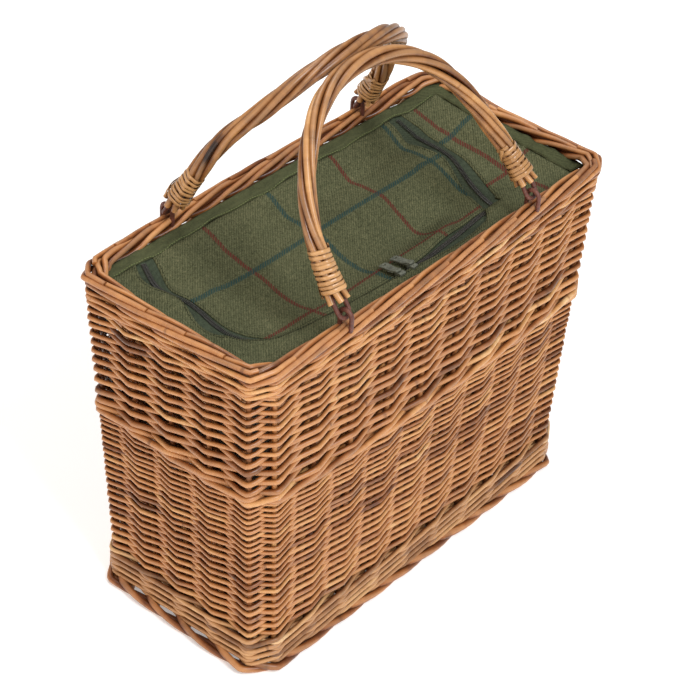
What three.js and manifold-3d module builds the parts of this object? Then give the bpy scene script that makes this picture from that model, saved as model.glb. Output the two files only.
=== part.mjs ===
// A tall willow basket with two swing handles and a fitted cooler bag whose tweed top closes with a zip.
// Millimetres, +Z up, +X along the long side, -Y to the front. The origin is the middle of the footprint,
// on the surface that the basket stands on.
import * as THREE from 'three';
import { mergeVertices } from 'three/addons/utils/BufferGeometryUtils.js';
import Module from 'manifold-3d';

const wasm = await Module();
wasm.setup();

// Gap between neighbouring pieces
const CLEAR = 0.3;

// The woven wall leans out a little from the base to the rim: half sizes of its outer face
const WALL = {
  low: { z: 42, halfLength: 210.5, halfWidth: 97.5 },
  high: { z: 330, halfLength: 225, halfWidth: 102 },
  thickness: 13,
  flute: 3.5,
};
// The long walls bow out most at the middle wale
const BOW = { long: 6, short: 2, z: 208 };
// Each corner is cut across between two stakes
const CORNER = { alongLength: 17, alongWidth: 12 };
// Bays between stakes on a long side, across a corner and on a short side
const BAYS = { long: 9, corner: 1, short: 4 };
// Sides are counted long, corner, short, corner, and again
const LONG_SIDE_EVERY = 4;

// Bands of the body from the ground up
const BAND = {
  foot: { from: 0, to: 12 },
  upsett: { from: 12.3, to: 41.7, rows: 4, swell: 3.4, relief: 1.4 },
  lowerWeave: { from: 42, to: 202.7 },
  middleWale: { from: 203, to: 213, rows: 1, swell: 1.2, relief: 1 },
  upperWeave: { from: 213.3, to: 330 },
  rim: { from: 330.3, to: 350.5 },
};

// The rim and the foot are rods laid in a rope round the basket
const RIM = { halfLength: 232, halfWidth: 109, radius: 8.3, relief: 1.2, strands: 3, turns: 6, sides: 12 };
// The underside of the foot is flat
const FOOT = {
  halfLength: 217, halfWidth: 104, middleZ: 4, radius: 6.5, relief: 1, strands: 2, turns: 15, sides: 8,
};

const BASE = { from: 14, to: 24 };

// The cooler bag hangs inside the wall; the distances are inwards from the wall's outer face
const BAG = { outer: 14.8, inner: 18.8, floor: 4 };

// The tweed top slopes down to the front and sags in the middle
const TOP = {
  frontZ: 322,
  backZ: 340,
  sag: 16,
  sagReachX: 190,
  sagPowerX: 4,
  sagMiddleY: -5,
  sagReachY: 66,
  sagPowerY: 2.5,
  thickness: 2,
  cellsX: 18,
  cellsY: 12,
};
const HEM = { backWidth: 13, rightWidth: 12 };
// Plan of the zip from the back left round the front to the back right
const ZIP_PLAN = [
  { x: -180, y: 76 },
  { x: -184, y: 48 },
  { x: -177, y: 22 },
  { x: -179, y: -8 },
  { x: -174, y: -36 },
  { x: -146, y: -59 },
  { x: -70, y: -68 },
  { x: 0, y: -70 },
  { x: 76, y: -66 },
  { x: 124, y: -53 },
  { x: 141, y: -26 },
  { x: 151, y: 14 },
  { x: 147, y: 46 },
  { x: 146, y: 76 },
];
const ZIP = { tapeHalf: 13, coilRadius: 1.8, coilSides: 6, coilSteps: 34, planSteps: 34, coilLift: 0.6 };
// Pulls lying on the lid beside the zip: middle of each, and its turn from straight back
const PULLS = [
  { name: 'zip_pull_left', x: -17, y: -53, turn: 0.1 },
  { name: 'zip_pull_right', x: -1, y: -53, turn: -0.12 },
];
const PULL = { width: 9, length: 21, thickness: 1.6, lift: 0.8 };

// Handles: an arch of five rods that swings on loops of leather cord
const HANDLES = [
  { name: 'front', side: -1, shift: -5, lean: 34.6 },
  { name: 'back', side: 1, shift: -2, lean: 30.9 },
];
const ENDS = [{ end: 'left', side: -1 }, { end: 'right', side: 1 }];
// The hinge line of each handle, above the rim and in from its outer face
const AXIS = { aboveRim: 5, inFromEdge: 6 };
const ARCH = { half: 122, height: 175, power: 2.2, foot: 15 };
const GRIP = { rods: 5, crest: 8.4, groove: 7.2, twist: 1.1, steps: 34 };
const BINDING = {
  from: 25, to: 68, inner: 9.4, outer: 10.3, relief: 0.5, turns: 4, innerSteps: 3, sides: 12,
};
const LOOP = { cord: 1.35, half: 4.2, sides: 6, bends: 4, rise: 3.2, depthInRim: 9.5, reachInGrip: 21 };

const { lerp, degToRad } = THREE.MathUtils;
const FULL_TURN = 2 * Math.PI;

const willow = (colour) => new THREE.MeshStandardMaterial({ color: colour, roughness: 0.55, metalness: 0 });
const cloth = (colour) => new THREE.MeshStandardMaterial({ color: colour, roughness: 0.95, metalness: 0 });
const MATERIALS = {
  rod: () => willow(0xb87b45),
  paleRod: () => willow(0xc49a63),
  cane: () => willow(0xd8ab6c),
  bag: () => cloth(0x74757a),
  tweed: () => cloth(0x55563c),
  hem: () => cloth(0x4a5637),
  tape: () => cloth(0x3d4a3a),
  coil: () => new THREE.MeshStandardMaterial({ color: 0x2a2b29, roughness: 0.5, metalness: 0 }),
  pull: () => new THREE.MeshStandardMaterial({ color: 0x55584c, roughness: 0.4, metalness: 0.6 }),
  leather: () => new THREE.MeshStandardMaterial({ color: 0x5a2f25, roughness: 0.6, metalness: 0 }),
};

const basket = new THREE.Group();

function piece(parent, name, geometry, material) {
  const mesh = new THREE.Mesh(geometry, material);
  mesh.name = name;
  parent.add(mesh);
}

// Signed volume of an indexed surface: negative when its faces point inwards
function signedVolume(positions, index) {
  const corner = (i) => new THREE.Vector3().fromArray(positions, 3 * i);
  let sum = 0;
  for (let i = 0; i < index.length; i += 3) {
    sum += corner(index[i]).dot(corner(index[i + 1]).cross(corner(index[i + 2])));
  }
  return sum / 6;
}

// A closed skin through rings of equal length: the last ring joins the first, or else both ends are capped
function loft(rings, joined) {
  const size = rings[0].length;
  const positions = rings.flat().flatMap((point) => point.toArray());
  const index = [];
  const spans = joined ? rings.length : rings.length - 1;
  for (let k = 0; k < spans; k += 1) {
    const next = (k + 1) % rings.length;
    for (let j = 0; j < size; j += 1) {
      const up = (j + 1) % size;
      const [a, b, c, d] = [k * size + j, next * size + j, next * size + up, k * size + up];
      index.push(a, b, c, a, c, d);
    }
  }
  if (!joined) {
    const last = (rings.length - 1) * size;
    for (let j = 1; j < size - 1; j += 1) {
      index.push(0, j, j + 1, last, last + j + 1, last + j);
    }
  }
  if (signedVolume(positions, index) < 0) {
    index.reverse();
  }
  const geometry = new THREE.BufferGeometry();
  geometry.setAttribute('position', new THREE.Float32BufferAttribute(positions, 3));
  geometry.setIndex(index);
  geometry.computeVertexNormals();
  return geometry;
}

function toSolid(geometry) {
  const bare = geometry.clone();
  bare.deleteAttribute('normal');
  bare.deleteAttribute('uv');
  const merged = mergeVertices(bare);
  return new wasm.Manifold(new wasm.Mesh({
    numProp: 3,
    vertProperties: new Float32Array(merged.attributes.position.array),
    triVerts: new Uint32Array(merged.index.array),
  }));
}

function toGeometry(solid) {
  const mesh = solid.getMesh();
  const geometry = new THREE.BufferGeometry();
  geometry.setAttribute('position', new THREE.Float32BufferAttribute(mesh.vertProperties, 3));
  geometry.setIndex(Array.from(mesh.triVerts));
  geometry.computeVertexNormals();
  return geometry;
}

// Plan of the basket

function wallHalf(z) {
  const t = (z - WALL.low.z) / (WALL.high.z - WALL.low.z);
  return {
    x: lerp(WALL.low.halfLength, WALL.high.halfLength, t),
    y: lerp(WALL.low.halfWidth, WALL.high.halfWidth, t),
  };
}

// Corners of the eight-sided plan, anticlockwise from the left end of the front
function planCorners(halfX, halfY) {
  const x = halfX - CORNER.alongLength;
  const y = halfY - CORNER.alongWidth;
  return [
    [-x, -halfY], [x, -halfY], [halfX, -y], [halfX, y],
    [x, halfY], [-x, halfY], [-halfX, y], [-halfX, -y],
  ];
}

// The plan inside the wall at a height, by a distance from the wall's outer face
function insideWall(z, inset) {
  const half = wallHalf(z);
  return planCorners(half.x - inset, half.y - inset);
}

// Places round the plan, two to a bay: the first of each pair is at a stake
function stations() {
  const half = [BAYS.long, BAYS.corner, BAYS.short, BAYS.corner];
  return [...half, ...half].flatMap((bays, side) => Array.from(
    { length: 2 * bays },
    (_, i) => ({ side, along: i / (2 * bays), atStake: i % 2 === 0 }),
  ));
}

function planPoint(station, halfX, halfY, z) {
  const corners = planCorners(halfX, halfY);
  const [fromX, fromY] = corners[station.side];
  const [toX, toY] = corners[(station.side + 1) % corners.length];
  return new THREE.Vector3(lerp(fromX, toX, station.along), lerp(fromY, toY, station.along), z);
}

// A point of the wall, moved out by a distance and by the bow of its side
function wallPoint(station, z, out) {
  const half = wallHalf(z);
  const point = planPoint(station, half.x + out, half.y + out, z);
  const level = z < BOW.z ? z / BOW.z : (BAND.rim.from - z) / (BAND.rim.from - BOW.z);
  const across = 4 * station.along * (1 - station.along) * level;
  if (station.side % LONG_SIDE_EVERY === 0) {
    point.y += Math.sign(point.y) * BOW.long * across;
  } else if (station.side % 2 === 0) {
    point.x += Math.sign(point.x) * BOW.short * across;
  }
  return point;
}

// Body of the basket

// A woven wall swells at each stake, inside and out, and narrows between the stakes
function weave({ from, to }) {
  return loft(stations().map((station) => {
    const dent = station.atStake ? 0 : WALL.flute;
    const inside = dent - WALL.thickness;
    return [
      wallPoint(station, from, -dent), wallPoint(station, to, -dent),
      wallPoint(station, to, inside), wallPoint(station, from, inside),
    ];
  }), true);
}

// A waled band has its rows as ribs on a slight swelling
function wale({ from, to, rows, swell, relief }) {
  return loft(stations().filter((station) => station.atStake).map((station) => {
    const outside = Array.from({ length: 2 * rows + 1 }, (_, k) => {
      const t = k / (2 * rows);
      const rib = k % 2 === 1 ? relief : 0;
      return wallPoint(station, lerp(from, to, t), swell * (0.5 + 0.5 * Math.sin(Math.PI * t)) + rib);
    });
    return [...outside, wallPoint(station, to, -WALL.thickness), wallPoint(station, from, -WALL.thickness)];
  }), true);
}

// A border of rods twisted round the plan, flattened where it would reach below the ground
function ropeBorder(border, middleZ, radiusZ) {
  const places = stations();
  return loft(places.map((station, k) => {
    const twist = (FULL_TURN * border.turns * k) / places.length;
    return Array.from({ length: border.sides }, (_, j) => {
      const angle = (FULL_TURN * j) / border.sides;
      const swell = border.relief * Math.cos(border.strands * (angle - twist));
      const out = (border.radius + swell) * Math.cos(angle) - border.radius - border.relief;
      const z = Math.max(0, middleZ + (radiusZ + swell) * Math.sin(angle));
      return planPoint(station, border.halfLength + out, border.halfWidth + out, z);
    });
  }), true);
}

// A flat-topped solid over a plan outline
function plate(points, from, to) {
  const outline = new THREE.Shape(points.map(([x, y]) => new THREE.Vector2(x, y)));
  const geometry = new THREE.ExtrudeGeometry(outline, { depth: to - from, bevelEnabled: false });
  return geometry.translate(0, 0, from);
}

// Handles and their loops

class ArchCurve extends THREE.Curve {
  getPoint(t) {
    const { half, height, power, foot } = ARCH;
    const start = Math.asin((foot / height) ** (power / 2));
    const angle = lerp(start, Math.PI - start, t);
    const across = Math.cos(angle);
    const x = -half * Math.sign(across) * Math.abs(across) ** (2 / power);
    return new THREE.Vector3(x, 0, height * Math.sin(angle) ** (2 / power));
  }
}

const arch = new ArchCurve();
arch.arcLengthDivisions = 400;

// A ring of points square to the arch, at a fraction of its length
function archRing(t, radii, turn) {
  const centre = arch.getPointAt(t);
  const along = arch.getTangentAt(t);
  const across = new THREE.Vector3(-along.z, 0, along.x);
  return radii.map((radius, j) => {
    const angle = turn + (FULL_TURN * j) / radii.length;
    const offset = across.clone().multiplyScalar(radius * Math.cos(angle));
    offset.y = radius * Math.sin(angle);
    return offset.add(centre);
  });
}

function gripBody() {
  const radii = Array.from({ length: 2 * GRIP.rods }, (_, j) => (j % 2 === 0 ? GRIP.crest : GRIP.groove));
  const rings = Array.from({ length: GRIP.steps + 1 }, (_, k) => {
    const t = k / GRIP.steps;
    return archRing(t, radii, GRIP.twist * FULL_TURN * t);
  });
  return loft(rings, false);
}

// A sleeve of cane turns round one end of the grip
function binding(atRight) {
  const length = arch.getLength();
  const sleeve = (steps, radiusAt) => Array.from({ length: steps + 1 }, (_, k) => {
    const t = (lerp(BINDING.from, BINDING.to, k / steps) - ARCH.foot) / length;
    return archRing(atRight ? 1 - t : t, Array(BINDING.sides).fill(radiusAt(k)), 0);
  });
  const outside = sleeve(2 * BINDING.turns, (k) => BINDING.outer + (k % 2 === 1 ? BINDING.relief : 0));
  const inside = sleeve(BINDING.innerSteps, () => BINDING.inner);
  return loft([...outside, ...inside.reverse()], true);
}

// A loop of cord between two heights: straight sides and round ends, square to the given side direction
function loopOfCord(low, high, sideways, radius) {
  const up = new THREE.Vector3(0, 0, 1);
  const facing = new THREE.Vector3().crossVectors(sideways, up);
  const bend = (middle, start) => Array.from({ length: LOOP.bends + 1 }, (_, k) => {
    const angle = start + (Math.PI * k) / LOOP.bends;
    return { angle, middle };
  });
  const route = [...bend(high - LOOP.half, 0), ...bend(low + LOOP.half, Math.PI)];
  return loft(route.map(({ angle, middle }) => {
    const out = sideways.clone().multiplyScalar(Math.cos(angle)).addScaledVector(up, Math.sin(angle));
    const centre = new THREE.Vector3(0, 0, middle).addScaledVector(out, LOOP.half);
    return Array.from({ length: LOOP.sides }, (_, j) => {
      const round = (FULL_TURN * j) / LOOP.sides;
      return centre.clone().addScaledVector(out, radius * Math.cos(round))
        .addScaledVector(facing, radius * Math.sin(round));
    });
  }), true);
}

const ALONG = new THREE.Vector3(1, 0, 0);
const ACROSS = new THREE.Vector3(0, 1, 0);
const handleLoop = (radius) => loopOfCord(0, LOOP.reachInGrip, ALONG, radius);
const rimLoop = (radius) => loopOfCord(-AXIS.aboveRim - LOOP.depthInRim, LOOP.rise, ACROSS, radius);

// The hinge line of a handle runs along X through its two linked loops
function hinge(handle) {
  const y = handle.side * (RIM.halfWidth - AXIS.inFromEdge);
  return new THREE.Vector3(handle.shift, y, BAND.rim.to + AXIS.aboveRim);
}

function addHandle(handle) {
  const swing = new THREE.Group();
  swing.position.copy(hinge(handle));
  swing.rotation.x = handle.side * degToRad(handle.lean);
  let grip = toSolid(gripBody());
  for (const { end, side } of ENDS) {
    const x = side * ARCH.half;
    const loop = handleLoop(LOOP.cord).translate(x, 0, 0);
    piece(swing, `${handle.name}_${end}_binding`, binding(side > 0), MATERIALS.cane());
    piece(swing, `${handle.name}_${end}_handle_loop`, loop, MATERIALS.leather());
    grip = grip.subtract(toSolid(handleLoop(LOOP.cord + CLEAR).translate(x, 0, 0)));
  }
  piece(swing, `${handle.name}_grip`, toGeometry(grip), MATERIALS.rod());
  basket.add(swing);
}

// Tweed top

function topZ(x, y) {
  const half = topHalf();
  const slope = lerp(TOP.frontZ, TOP.backZ, (y + half.y) / (2 * half.y));
  const sagX = Math.max(0, 1 - (Math.abs(x) / TOP.sagReachX) ** TOP.sagPowerX);
  const sagY = Math.max(0, 1 - (Math.abs(y - TOP.sagMiddleY) / TOP.sagReachY) ** TOP.sagPowerY);
  return slope - TOP.sag * sagX * sagY;
}

function topHalf() {
  const half = wallHalf(TOP.frontZ);
  return { x: half.x - BAG.outer, y: half.y - BAG.outer };
}

// Lays a flat piece on the top, with its underside lifted off the cloth
function layOnTop(geometry, lift) {
  const place = geometry.attributes.position;
  for (let i = 0; i < place.count; i += 1) {
    place.setZ(i, place.getZ(i) + topZ(place.getX(i), place.getY(i)) + lift);
  }
  geometry.computeVertexNormals();
  return geometry;
}

function clothSheet() {
  const half = topHalf();
  const sheet = new THREE.BoxGeometry(2 * half.x, 2 * half.y, TOP.thickness, TOP.cellsX, TOP.cellsY, 1);
  return layOnTop(sheet, -TOP.thickness / 2);
}

// A tall column over a plan outline, to cut the cloth with
function column(points) {
  return toSolid(plate(points, 0, BAND.rim.to));
}

const zipCurve = new THREE.CatmullRomCurve3(ZIP_PLAN.map(({ x, y }) => new THREE.Vector3(x, y, 0)));

// Everything inside the zip's line moved out by a distance, open past the back edge
function insideZip(out) {
  const points = Array.from({ length: ZIP.planSteps + 1 }, (_, k) => {
    const point = zipCurve.getPointAt(k / ZIP.planSteps);
    const along = zipCurve.getTangentAt(k / ZIP.planSteps);
    return [point.x + along.y * out, point.y - along.x * out];
  });
  const back = topHalf().y + HEM.backWidth;
  return column([[points[0][0], back], ...points, [points.at(-1)[0], back]]);
}

function hemColumn(grow) {
  const half = topHalf();
  const past = HEM.backWidth;
  const innerX = half.x - HEM.rightWidth - grow;
  const innerY = half.y - HEM.backWidth - grow;
  return column([
    [-half.x - past, innerY], [innerX, innerY], [innerX, -half.y - past],
    [half.x + past, -half.y - past], [half.x + past, half.y + past], [-half.x - past, half.y + past],
  ]);
}

function zipCoil() {
  const inset = HEM.backWidth / zipCurve.getLength();
  const lift = ZIP.coilLift + ZIP.coilRadius;
  const points = Array.from({ length: ZIP.planSteps + 1 }, (_, k) => {
    const point = zipCurve.getPointAt(lerp(inset, 1 - inset, k / ZIP.planSteps));
    return point.setZ(topZ(point.x, point.y) + lift);
  });
  const section = Array.from({ length: ZIP.coilSides }, (_, j) => {
    const angle = (FULL_TURN * j) / ZIP.coilSides;
    return new THREE.Vector2(ZIP.coilRadius * Math.cos(angle), ZIP.coilRadius * Math.sin(angle));
  });
  return new THREE.ExtrudeGeometry(new THREE.Shape(section), {
    steps: ZIP.coilSteps,
    extrudePath: new THREE.CatmullRomCurve3(points),
    bevelEnabled: false,
  });
}

function addTop() {
  const half = topHalf();
  const outline = column(planCorners(half.x, half.y));
  const sheet = toSolid(clothSheet()).intersect(outline);
  const field = sheet.subtract(hemColumn(CLEAR));
  piece(basket, 'top_hem', toGeometry(sheet.intersect(hemColumn(0))), MATERIALS.hem());
  piece(basket, 'lid_panel', toGeometry(field.intersect(insideZip(-ZIP.tapeHalf))), MATERIALS.tweed());
  const tape = field.intersect(insideZip(ZIP.tapeHalf)).subtract(insideZip(CLEAR - ZIP.tapeHalf));
  piece(basket, 'zip_tape', toGeometry(tape), MATERIALS.tape());
  const surround = field.subtract(insideZip(ZIP.tapeHalf + CLEAR));
  piece(basket, 'top_surround', toGeometry(surround), MATERIALS.tweed());
  piece(basket, 'zip_coil', zipCoil(), MATERIALS.coil());
  for (const { name, x, y, turn } of PULLS) {
    const pull = new THREE.BoxGeometry(PULL.width, PULL.length, PULL.thickness, 1, 3, 1);
    pull.rotateZ(turn).translate(x, y, 0);
    piece(basket, name, layOnTop(pull, PULL.lift + PULL.thickness / 2), MATERIALS.pull());
  }
}

// Cooler bag: its wall ends just under the cloth top

function bagWall() {
  const low = BASE.to + 2 * CLEAR + BAG.floor;
  const under = TOP.thickness + CLEAR;
  const rings = planCorners(0, 0).map((_, side) => {
    const corner = { side, along: 0 };
    const edge = (inset) => {
      const { x, y } = wallPoint(corner, TOP.frontZ, -inset);
      return wallPoint(corner, topZ(x, y) - under, -inset);
    };
    return [
      wallPoint(corner, low, -BAG.outer), edge(BAG.outer),
      edge(BAG.inner), wallPoint(corner, low, -BAG.inner),
    ];
  });
  return loft(rings, true);
}

function addBody() {
  const rimMiddle = (BAND.rim.from + BAND.rim.to) / 2;
  const rimRadiusZ = (BAND.rim.to - BAND.rim.from) / 2 - RIM.relief;
  let rim = toSolid(ropeBorder(RIM, rimMiddle, rimRadiusZ));
  for (const handle of HANDLES) {
    for (const { end, side } of ENDS) {
      const { x, y, z } = hinge(handle);
      const place = [x + side * ARCH.half, y, z];
      const loop = rimLoop(LOOP.cord).translate(...place);
      piece(basket, `${handle.name}_${end}_rim_loop`, loop, MATERIALS.leather());
      rim = rim.subtract(toSolid(rimLoop(LOOP.cord + CLEAR).translate(...place)));
    }
  }
  piece(basket, 'rim_border', toGeometry(rim), MATERIALS.rod());
  piece(basket, 'upper_weave', weave(BAND.upperWeave), MATERIALS.rod());
  piece(basket, 'middle_wale', wale(BAND.middleWale), MATERIALS.paleRod());
  piece(basket, 'lower_weave', weave(BAND.lowerWeave), MATERIALS.rod());
  piece(basket, 'upsett_wale', wale(BAND.upsett), MATERIALS.paleRod());
  const footRadiusZ = BAND.foot.to - FOOT.middleZ - FOOT.relief;
  piece(basket, 'foot_border', ropeBorder(FOOT, FOOT.middleZ, footRadiusZ), MATERIALS.rod());
  const base = insideWall(BASE.from, WALL.thickness + CLEAR);
  piece(basket, 'base_panel', plate(base, BASE.from, BASE.to), MATERIALS.rod());
  const floor = insideWall(BASE.to, BAG.outer);
  const floorFrom = BASE.to + CLEAR;
  piece(basket, 'bag_floor', plate(floor, floorFrom, floorFrom + BAG.floor), MATERIALS.bag());
  piece(basket, 'bag_wall', bagWall(), MATERIALS.bag());
}

addBody();
addTop();
HANDLES.forEach(addHandle);

export default basket;
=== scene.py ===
import math

import bpy
import numpy as np
from mathutils import Matrix, Vector
from mathutils.geometry import delaunay_2d_cdt


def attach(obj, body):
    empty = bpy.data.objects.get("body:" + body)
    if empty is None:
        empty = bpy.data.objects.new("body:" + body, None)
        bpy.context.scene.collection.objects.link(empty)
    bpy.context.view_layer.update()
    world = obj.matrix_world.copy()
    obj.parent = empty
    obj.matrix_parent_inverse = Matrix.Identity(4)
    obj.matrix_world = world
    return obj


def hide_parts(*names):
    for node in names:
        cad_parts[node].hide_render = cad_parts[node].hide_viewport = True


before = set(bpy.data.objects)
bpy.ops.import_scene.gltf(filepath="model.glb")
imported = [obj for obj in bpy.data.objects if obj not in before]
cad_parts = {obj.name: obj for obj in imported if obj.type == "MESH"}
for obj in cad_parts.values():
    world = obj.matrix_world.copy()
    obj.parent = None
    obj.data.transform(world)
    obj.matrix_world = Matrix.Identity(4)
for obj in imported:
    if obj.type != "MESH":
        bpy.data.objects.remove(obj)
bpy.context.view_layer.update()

# Sizes are in millimetres and angles in radians; MM turns points into metres as a mesh is made
MM = 0.001
TURN = 2 * math.pi
chance = np.random.default_rng(1473)

# Plan of the basket's wall, a little outside the solid one where strands cross the stakes
WALL_LOW = {"z": 42, "half_x": 212.5, "half_y": 99.5}
WALL_HIGH = {"z": 330, "half_x": 229.5, "half_y": 106.5}
BOW = {"long": 6, "short": 2, "z": 208, "end": 340, "at_end": 0.6}
CORNER = (17, 12)
BAYS = np.array([9, 1, 4, 1, 9, 1, 4, 1])
BAY_ENDS = np.concatenate([[0], np.cumsum(BAYS)])
STAKE_COUNT = int(BAY_ENDS[-1])
STAKE = {"inset": 5.4, "radius": 2.6, "from": 9, "to": 338, "step": 9}


class Value:
    """An output socket that takes part in arithmetic: each operation adds a Math node."""

    def __init__(self, tree, socket):
        self.tree = tree
        self.socket = socket

    def maths(self, operation, *values):
        return self.tree.node("ShaderNodeMath", {"operation": operation}, dict(enumerate(values)))[0]

    def __add__(self, other):
        return self.maths("ADD", self, other)

    def __radd__(self, other):
        return self.maths("ADD", other, self)

    def __sub__(self, other):
        return self.maths("SUBTRACT", self, other)

    def __mul__(self, other):
        return self.maths("MULTIPLY", self, other)

    def least(self, other, ease):
        """The smaller of two values, eased where they meet."""
        return self.maths("SMOOTH_MIN", self, other, ease)

    def sine(self):
        return self.maths("SINE", self)

    def size(self):
        return self.maths("ABSOLUTE", self)


class Made:
    """A node that was made, whose outputs are picked by name or number."""

    def __init__(self, tree, node):
        self.tree = tree
        self.node = node

    def __getitem__(self, key):
        return Value(self.tree, pick(self.node.outputs, key))


def pick(sockets, key):
    if isinstance(key, int):
        return sockets[key]
    return next(socket for socket in sockets if socket.enabled and socket.name == key)


class Tree:
    """A node tree that is written as expressions."""

    def __init__(self, tree):
        self.tree = tree

    def node(self, kind, settings=None, sockets=None):
        made = self.tree.nodes.new(kind)
        for key, value in (settings or {}).items():
            if key == "stops":
                set_stops(made.color_ramp, value)
            else:
                setattr(made, key, value)
        for key, value in (sockets or {}).items():
            socket = pick(made.inputs, key)
            if isinstance(value, Value):
                self.tree.links.new(value.socket, socket)
            else:
                socket.default_value = value
        return Made(self, made)

    def vectors(self, operation, first, second):
        sockets = {0: first, 1: second}
        return self.node("ShaderNodeVectorMath", {"operation": operation}, sockets)["Vector"]

    def scaled(self, vector, amount):
        sockets = {"Vector": vector, "Scale": amount}
        return self.node("ShaderNodeVectorMath", {"operation": "SCALE"}, sockets)["Vector"]

    def combine(self, x, y, z):
        return self.node("ShaderNodeCombineXYZ", {}, {"X": x, "Y": y, "Z": z})["Vector"]


def set_stops(ramp, stops):
    while len(ramp.elements) < len(stops):
        ramp.elements.new(1.0)
    for element, (place, colour) in zip(ramp.elements, stops):
        element.position = place
        element.color = colour


def linear(red, green, blue):
    """A colour given as screen values from 0 to 255, as the shader takes it."""
    shares = [value / 255 for value in (red, green, blue)]
    return tuple(s / 12.92 if s <= 0.04045 else ((s + 0.055) / 1.055) ** 2.4 for s in shares) + (1.0,)


# Materials

class Finish(Tree):
    """A material's node tree with its Principled shader."""

    def __init__(self, name):
        self.material = bpy.data.materials.new(name)
        self.material.use_nodes = True
        super().__init__(self.material.node_tree)
        self.shader = self.material.node_tree.nodes["Principled BSDF"]

    def set(self, **values):
        for name, value in values.items():
            socket = self.shader.inputs[name.replace("_", " ")]
            if isinstance(value, Value):
                self.tree.links.new(value.socket, socket)
            else:
                socket.default_value = value
        return self.material

    def place(self):
        return self.node("ShaderNodeTexCoord")["Object"]

    def attribute(self, name):
        return self.node("ShaderNodeAttribute", {"attribute_name": name})

    def noise(self, vector, scale, detail=2.0, roughness=0.5):
        sockets = {"Vector": vector, "Scale": scale, "Detail": detail, "Roughness": roughness}
        return self.node("ShaderNodeTexNoise", {"noise_dimensions": "3D"}, sockets)["Fac"]

    def stretched(self, vector, scales):
        return self.vectors("MULTIPLY", vector, scales)

    def ramp(self, value, stops):
        return self.node("ShaderNodeValToRGB", {"stops": stops}, {"Fac": value})["Color"]

    def step(self, value, low, high):
        settings = {"interpolation_type": "SMOOTHSTEP"}
        sockets = {"Value": value, "From Min": low, "From Max": high, "To Min": 0.0, "To Max": 1.0}
        return self.node("ShaderNodeMapRange", settings, sockets)["Result"]

    def mix(self, factor, first, second):
        sockets = {"Factor": factor, "A": first, "B": second}
        return self.node("ShaderNodeMix", {"data_type": "RGBA"}, sockets)["Result"]

    def bump(self, height, distance, strength=1.0):
        sockets = {"Height": height, "Distance": distance, "Strength": strength}
        return self.node("ShaderNodeBump", {}, sockets)["Normal"]


# Cream of the painted highlight on each rod's outward side
PAINTED_HIGHLIGHT = linear(232, 182, 134)
# Brown of the painted shade on each rod's inward side, where the gaps between rods are dark
PAINTED_SHADE = linear(82, 38, 14)
FLECK = linear(96, 56, 32)
BARK_BROWN = linear(40, 25, 17)


def willow_finish(name, stops, gloss=0.38, bark=0.0):
    """Peeled willow: colour by rod and along it, fine streaks and flecks, a painted highlight on each rod's
    outward side and painted shade on its inward side.
    """
    finish = Finish(name)
    grain = finish.attribute("grain")["Vector"]
    tone = finish.attribute("tone")["Fac"]
    facing = finish.attribute("facing")["Fac"]
    drift = finish.noise(finish.stretched(grain, (12, 70, 70)), 1.0, 3.0)
    streak = finish.noise(finish.stretched(grain, (60, 1100, 1100)), 1.0, 4.0, 0.65)
    fleck = finish.noise(finish.stretched(grain, (120, 420, 420)), 1.0, 2.0)
    colour = finish.ramp(tone + (drift - 0.5) * 0.62 + (streak - 0.5) * 0.95, stops)
    # Painted highlight: the outward side of the lighter rods is paled towards cream
    highlight_mask = finish.step(facing, 0.35, 1.0) * finish.step(tone, 0.08, 0.34)
    colour = finish.mix(highlight_mask * 0.28, colour, PAINTED_HIGHLIGHT)
    # Painted shade: the inward side of every rod is darkened, standing in for the shade between rods
    colour = finish.mix(finish.step(facing, 0.7, -0.45) * 0.82, colour, PAINTED_SHADE)
    spots = finish.step(fleck, 0.66, 0.78)
    colour = finish.mix(spots * 0.55, colour, FLECK)
    if bark > 0:
        patch = finish.noise(finish.stretched(grain, (14, 130, 130)), 1.0, 3.0)
        strips = finish.step(patch, 0.56 - 0.14 * bark, 0.64 - 0.14 * bark) * finish.step(tone, 0.22, 0.1)
        colour = finish.mix(strips, colour, BARK_BROWN)
    rough = gloss + (streak - 0.5) * 0.35 + spots * 0.15
    height = streak * 0.6 + fleck * 0.4
    normal = finish.bump(height, 0.0005, 0.7)
    return finish.set(Base_Color=colour, Roughness=rough, Normal=normal, Specular_IOR_Level=0.5)


WILLOW_STOPS = [
    (0.0, linear(84, 48, 26)),
    (0.16, linear(122, 70, 34)),
    (0.38, linear(160, 97, 48)),
    (0.62, linear(184, 120, 64)),
    (0.82, linear(204, 148, 88)),
    (1.0, linear(228, 188, 134)),
]
HANDLE_STOPS = [
    (0.0, linear(62, 38, 24)),
    (0.18, linear(106, 64, 32)),
    (0.42, linear(148, 96, 48)),
    (0.66, linear(178, 124, 68)),
    (0.86, linear(206, 158, 98)),
    (1.0, linear(230, 196, 142)),
]
PALE_STOPS = [
    (0.0, linear(90, 58, 38)),
    (0.2, linear(138, 92, 54)),
    (0.5, linear(176, 124, 76)),
    (0.8, linear(200, 154, 102)),
    (1.0, linear(226, 192, 144)),
]
CANE_STOPS = [
    (0.0, linear(150, 104, 58)),
    (0.4, linear(180, 132, 80)),
    (0.75, linear(206, 158, 102)),
    (1.0, linear(230, 194, 142)),
]


def weave_height(finish, place, pitch):
    """Threads over and under each other on the three faces of the place."""
    parts = finish.node("ShaderNodeSeparateXYZ", {}, {"Vector": place})
    rate = TURN / pitch
    return (parts["X"] * rate).sine() * (parts["Y"] * rate).sine() + (parts["Z"] * rate).sine() * 0.6


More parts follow.
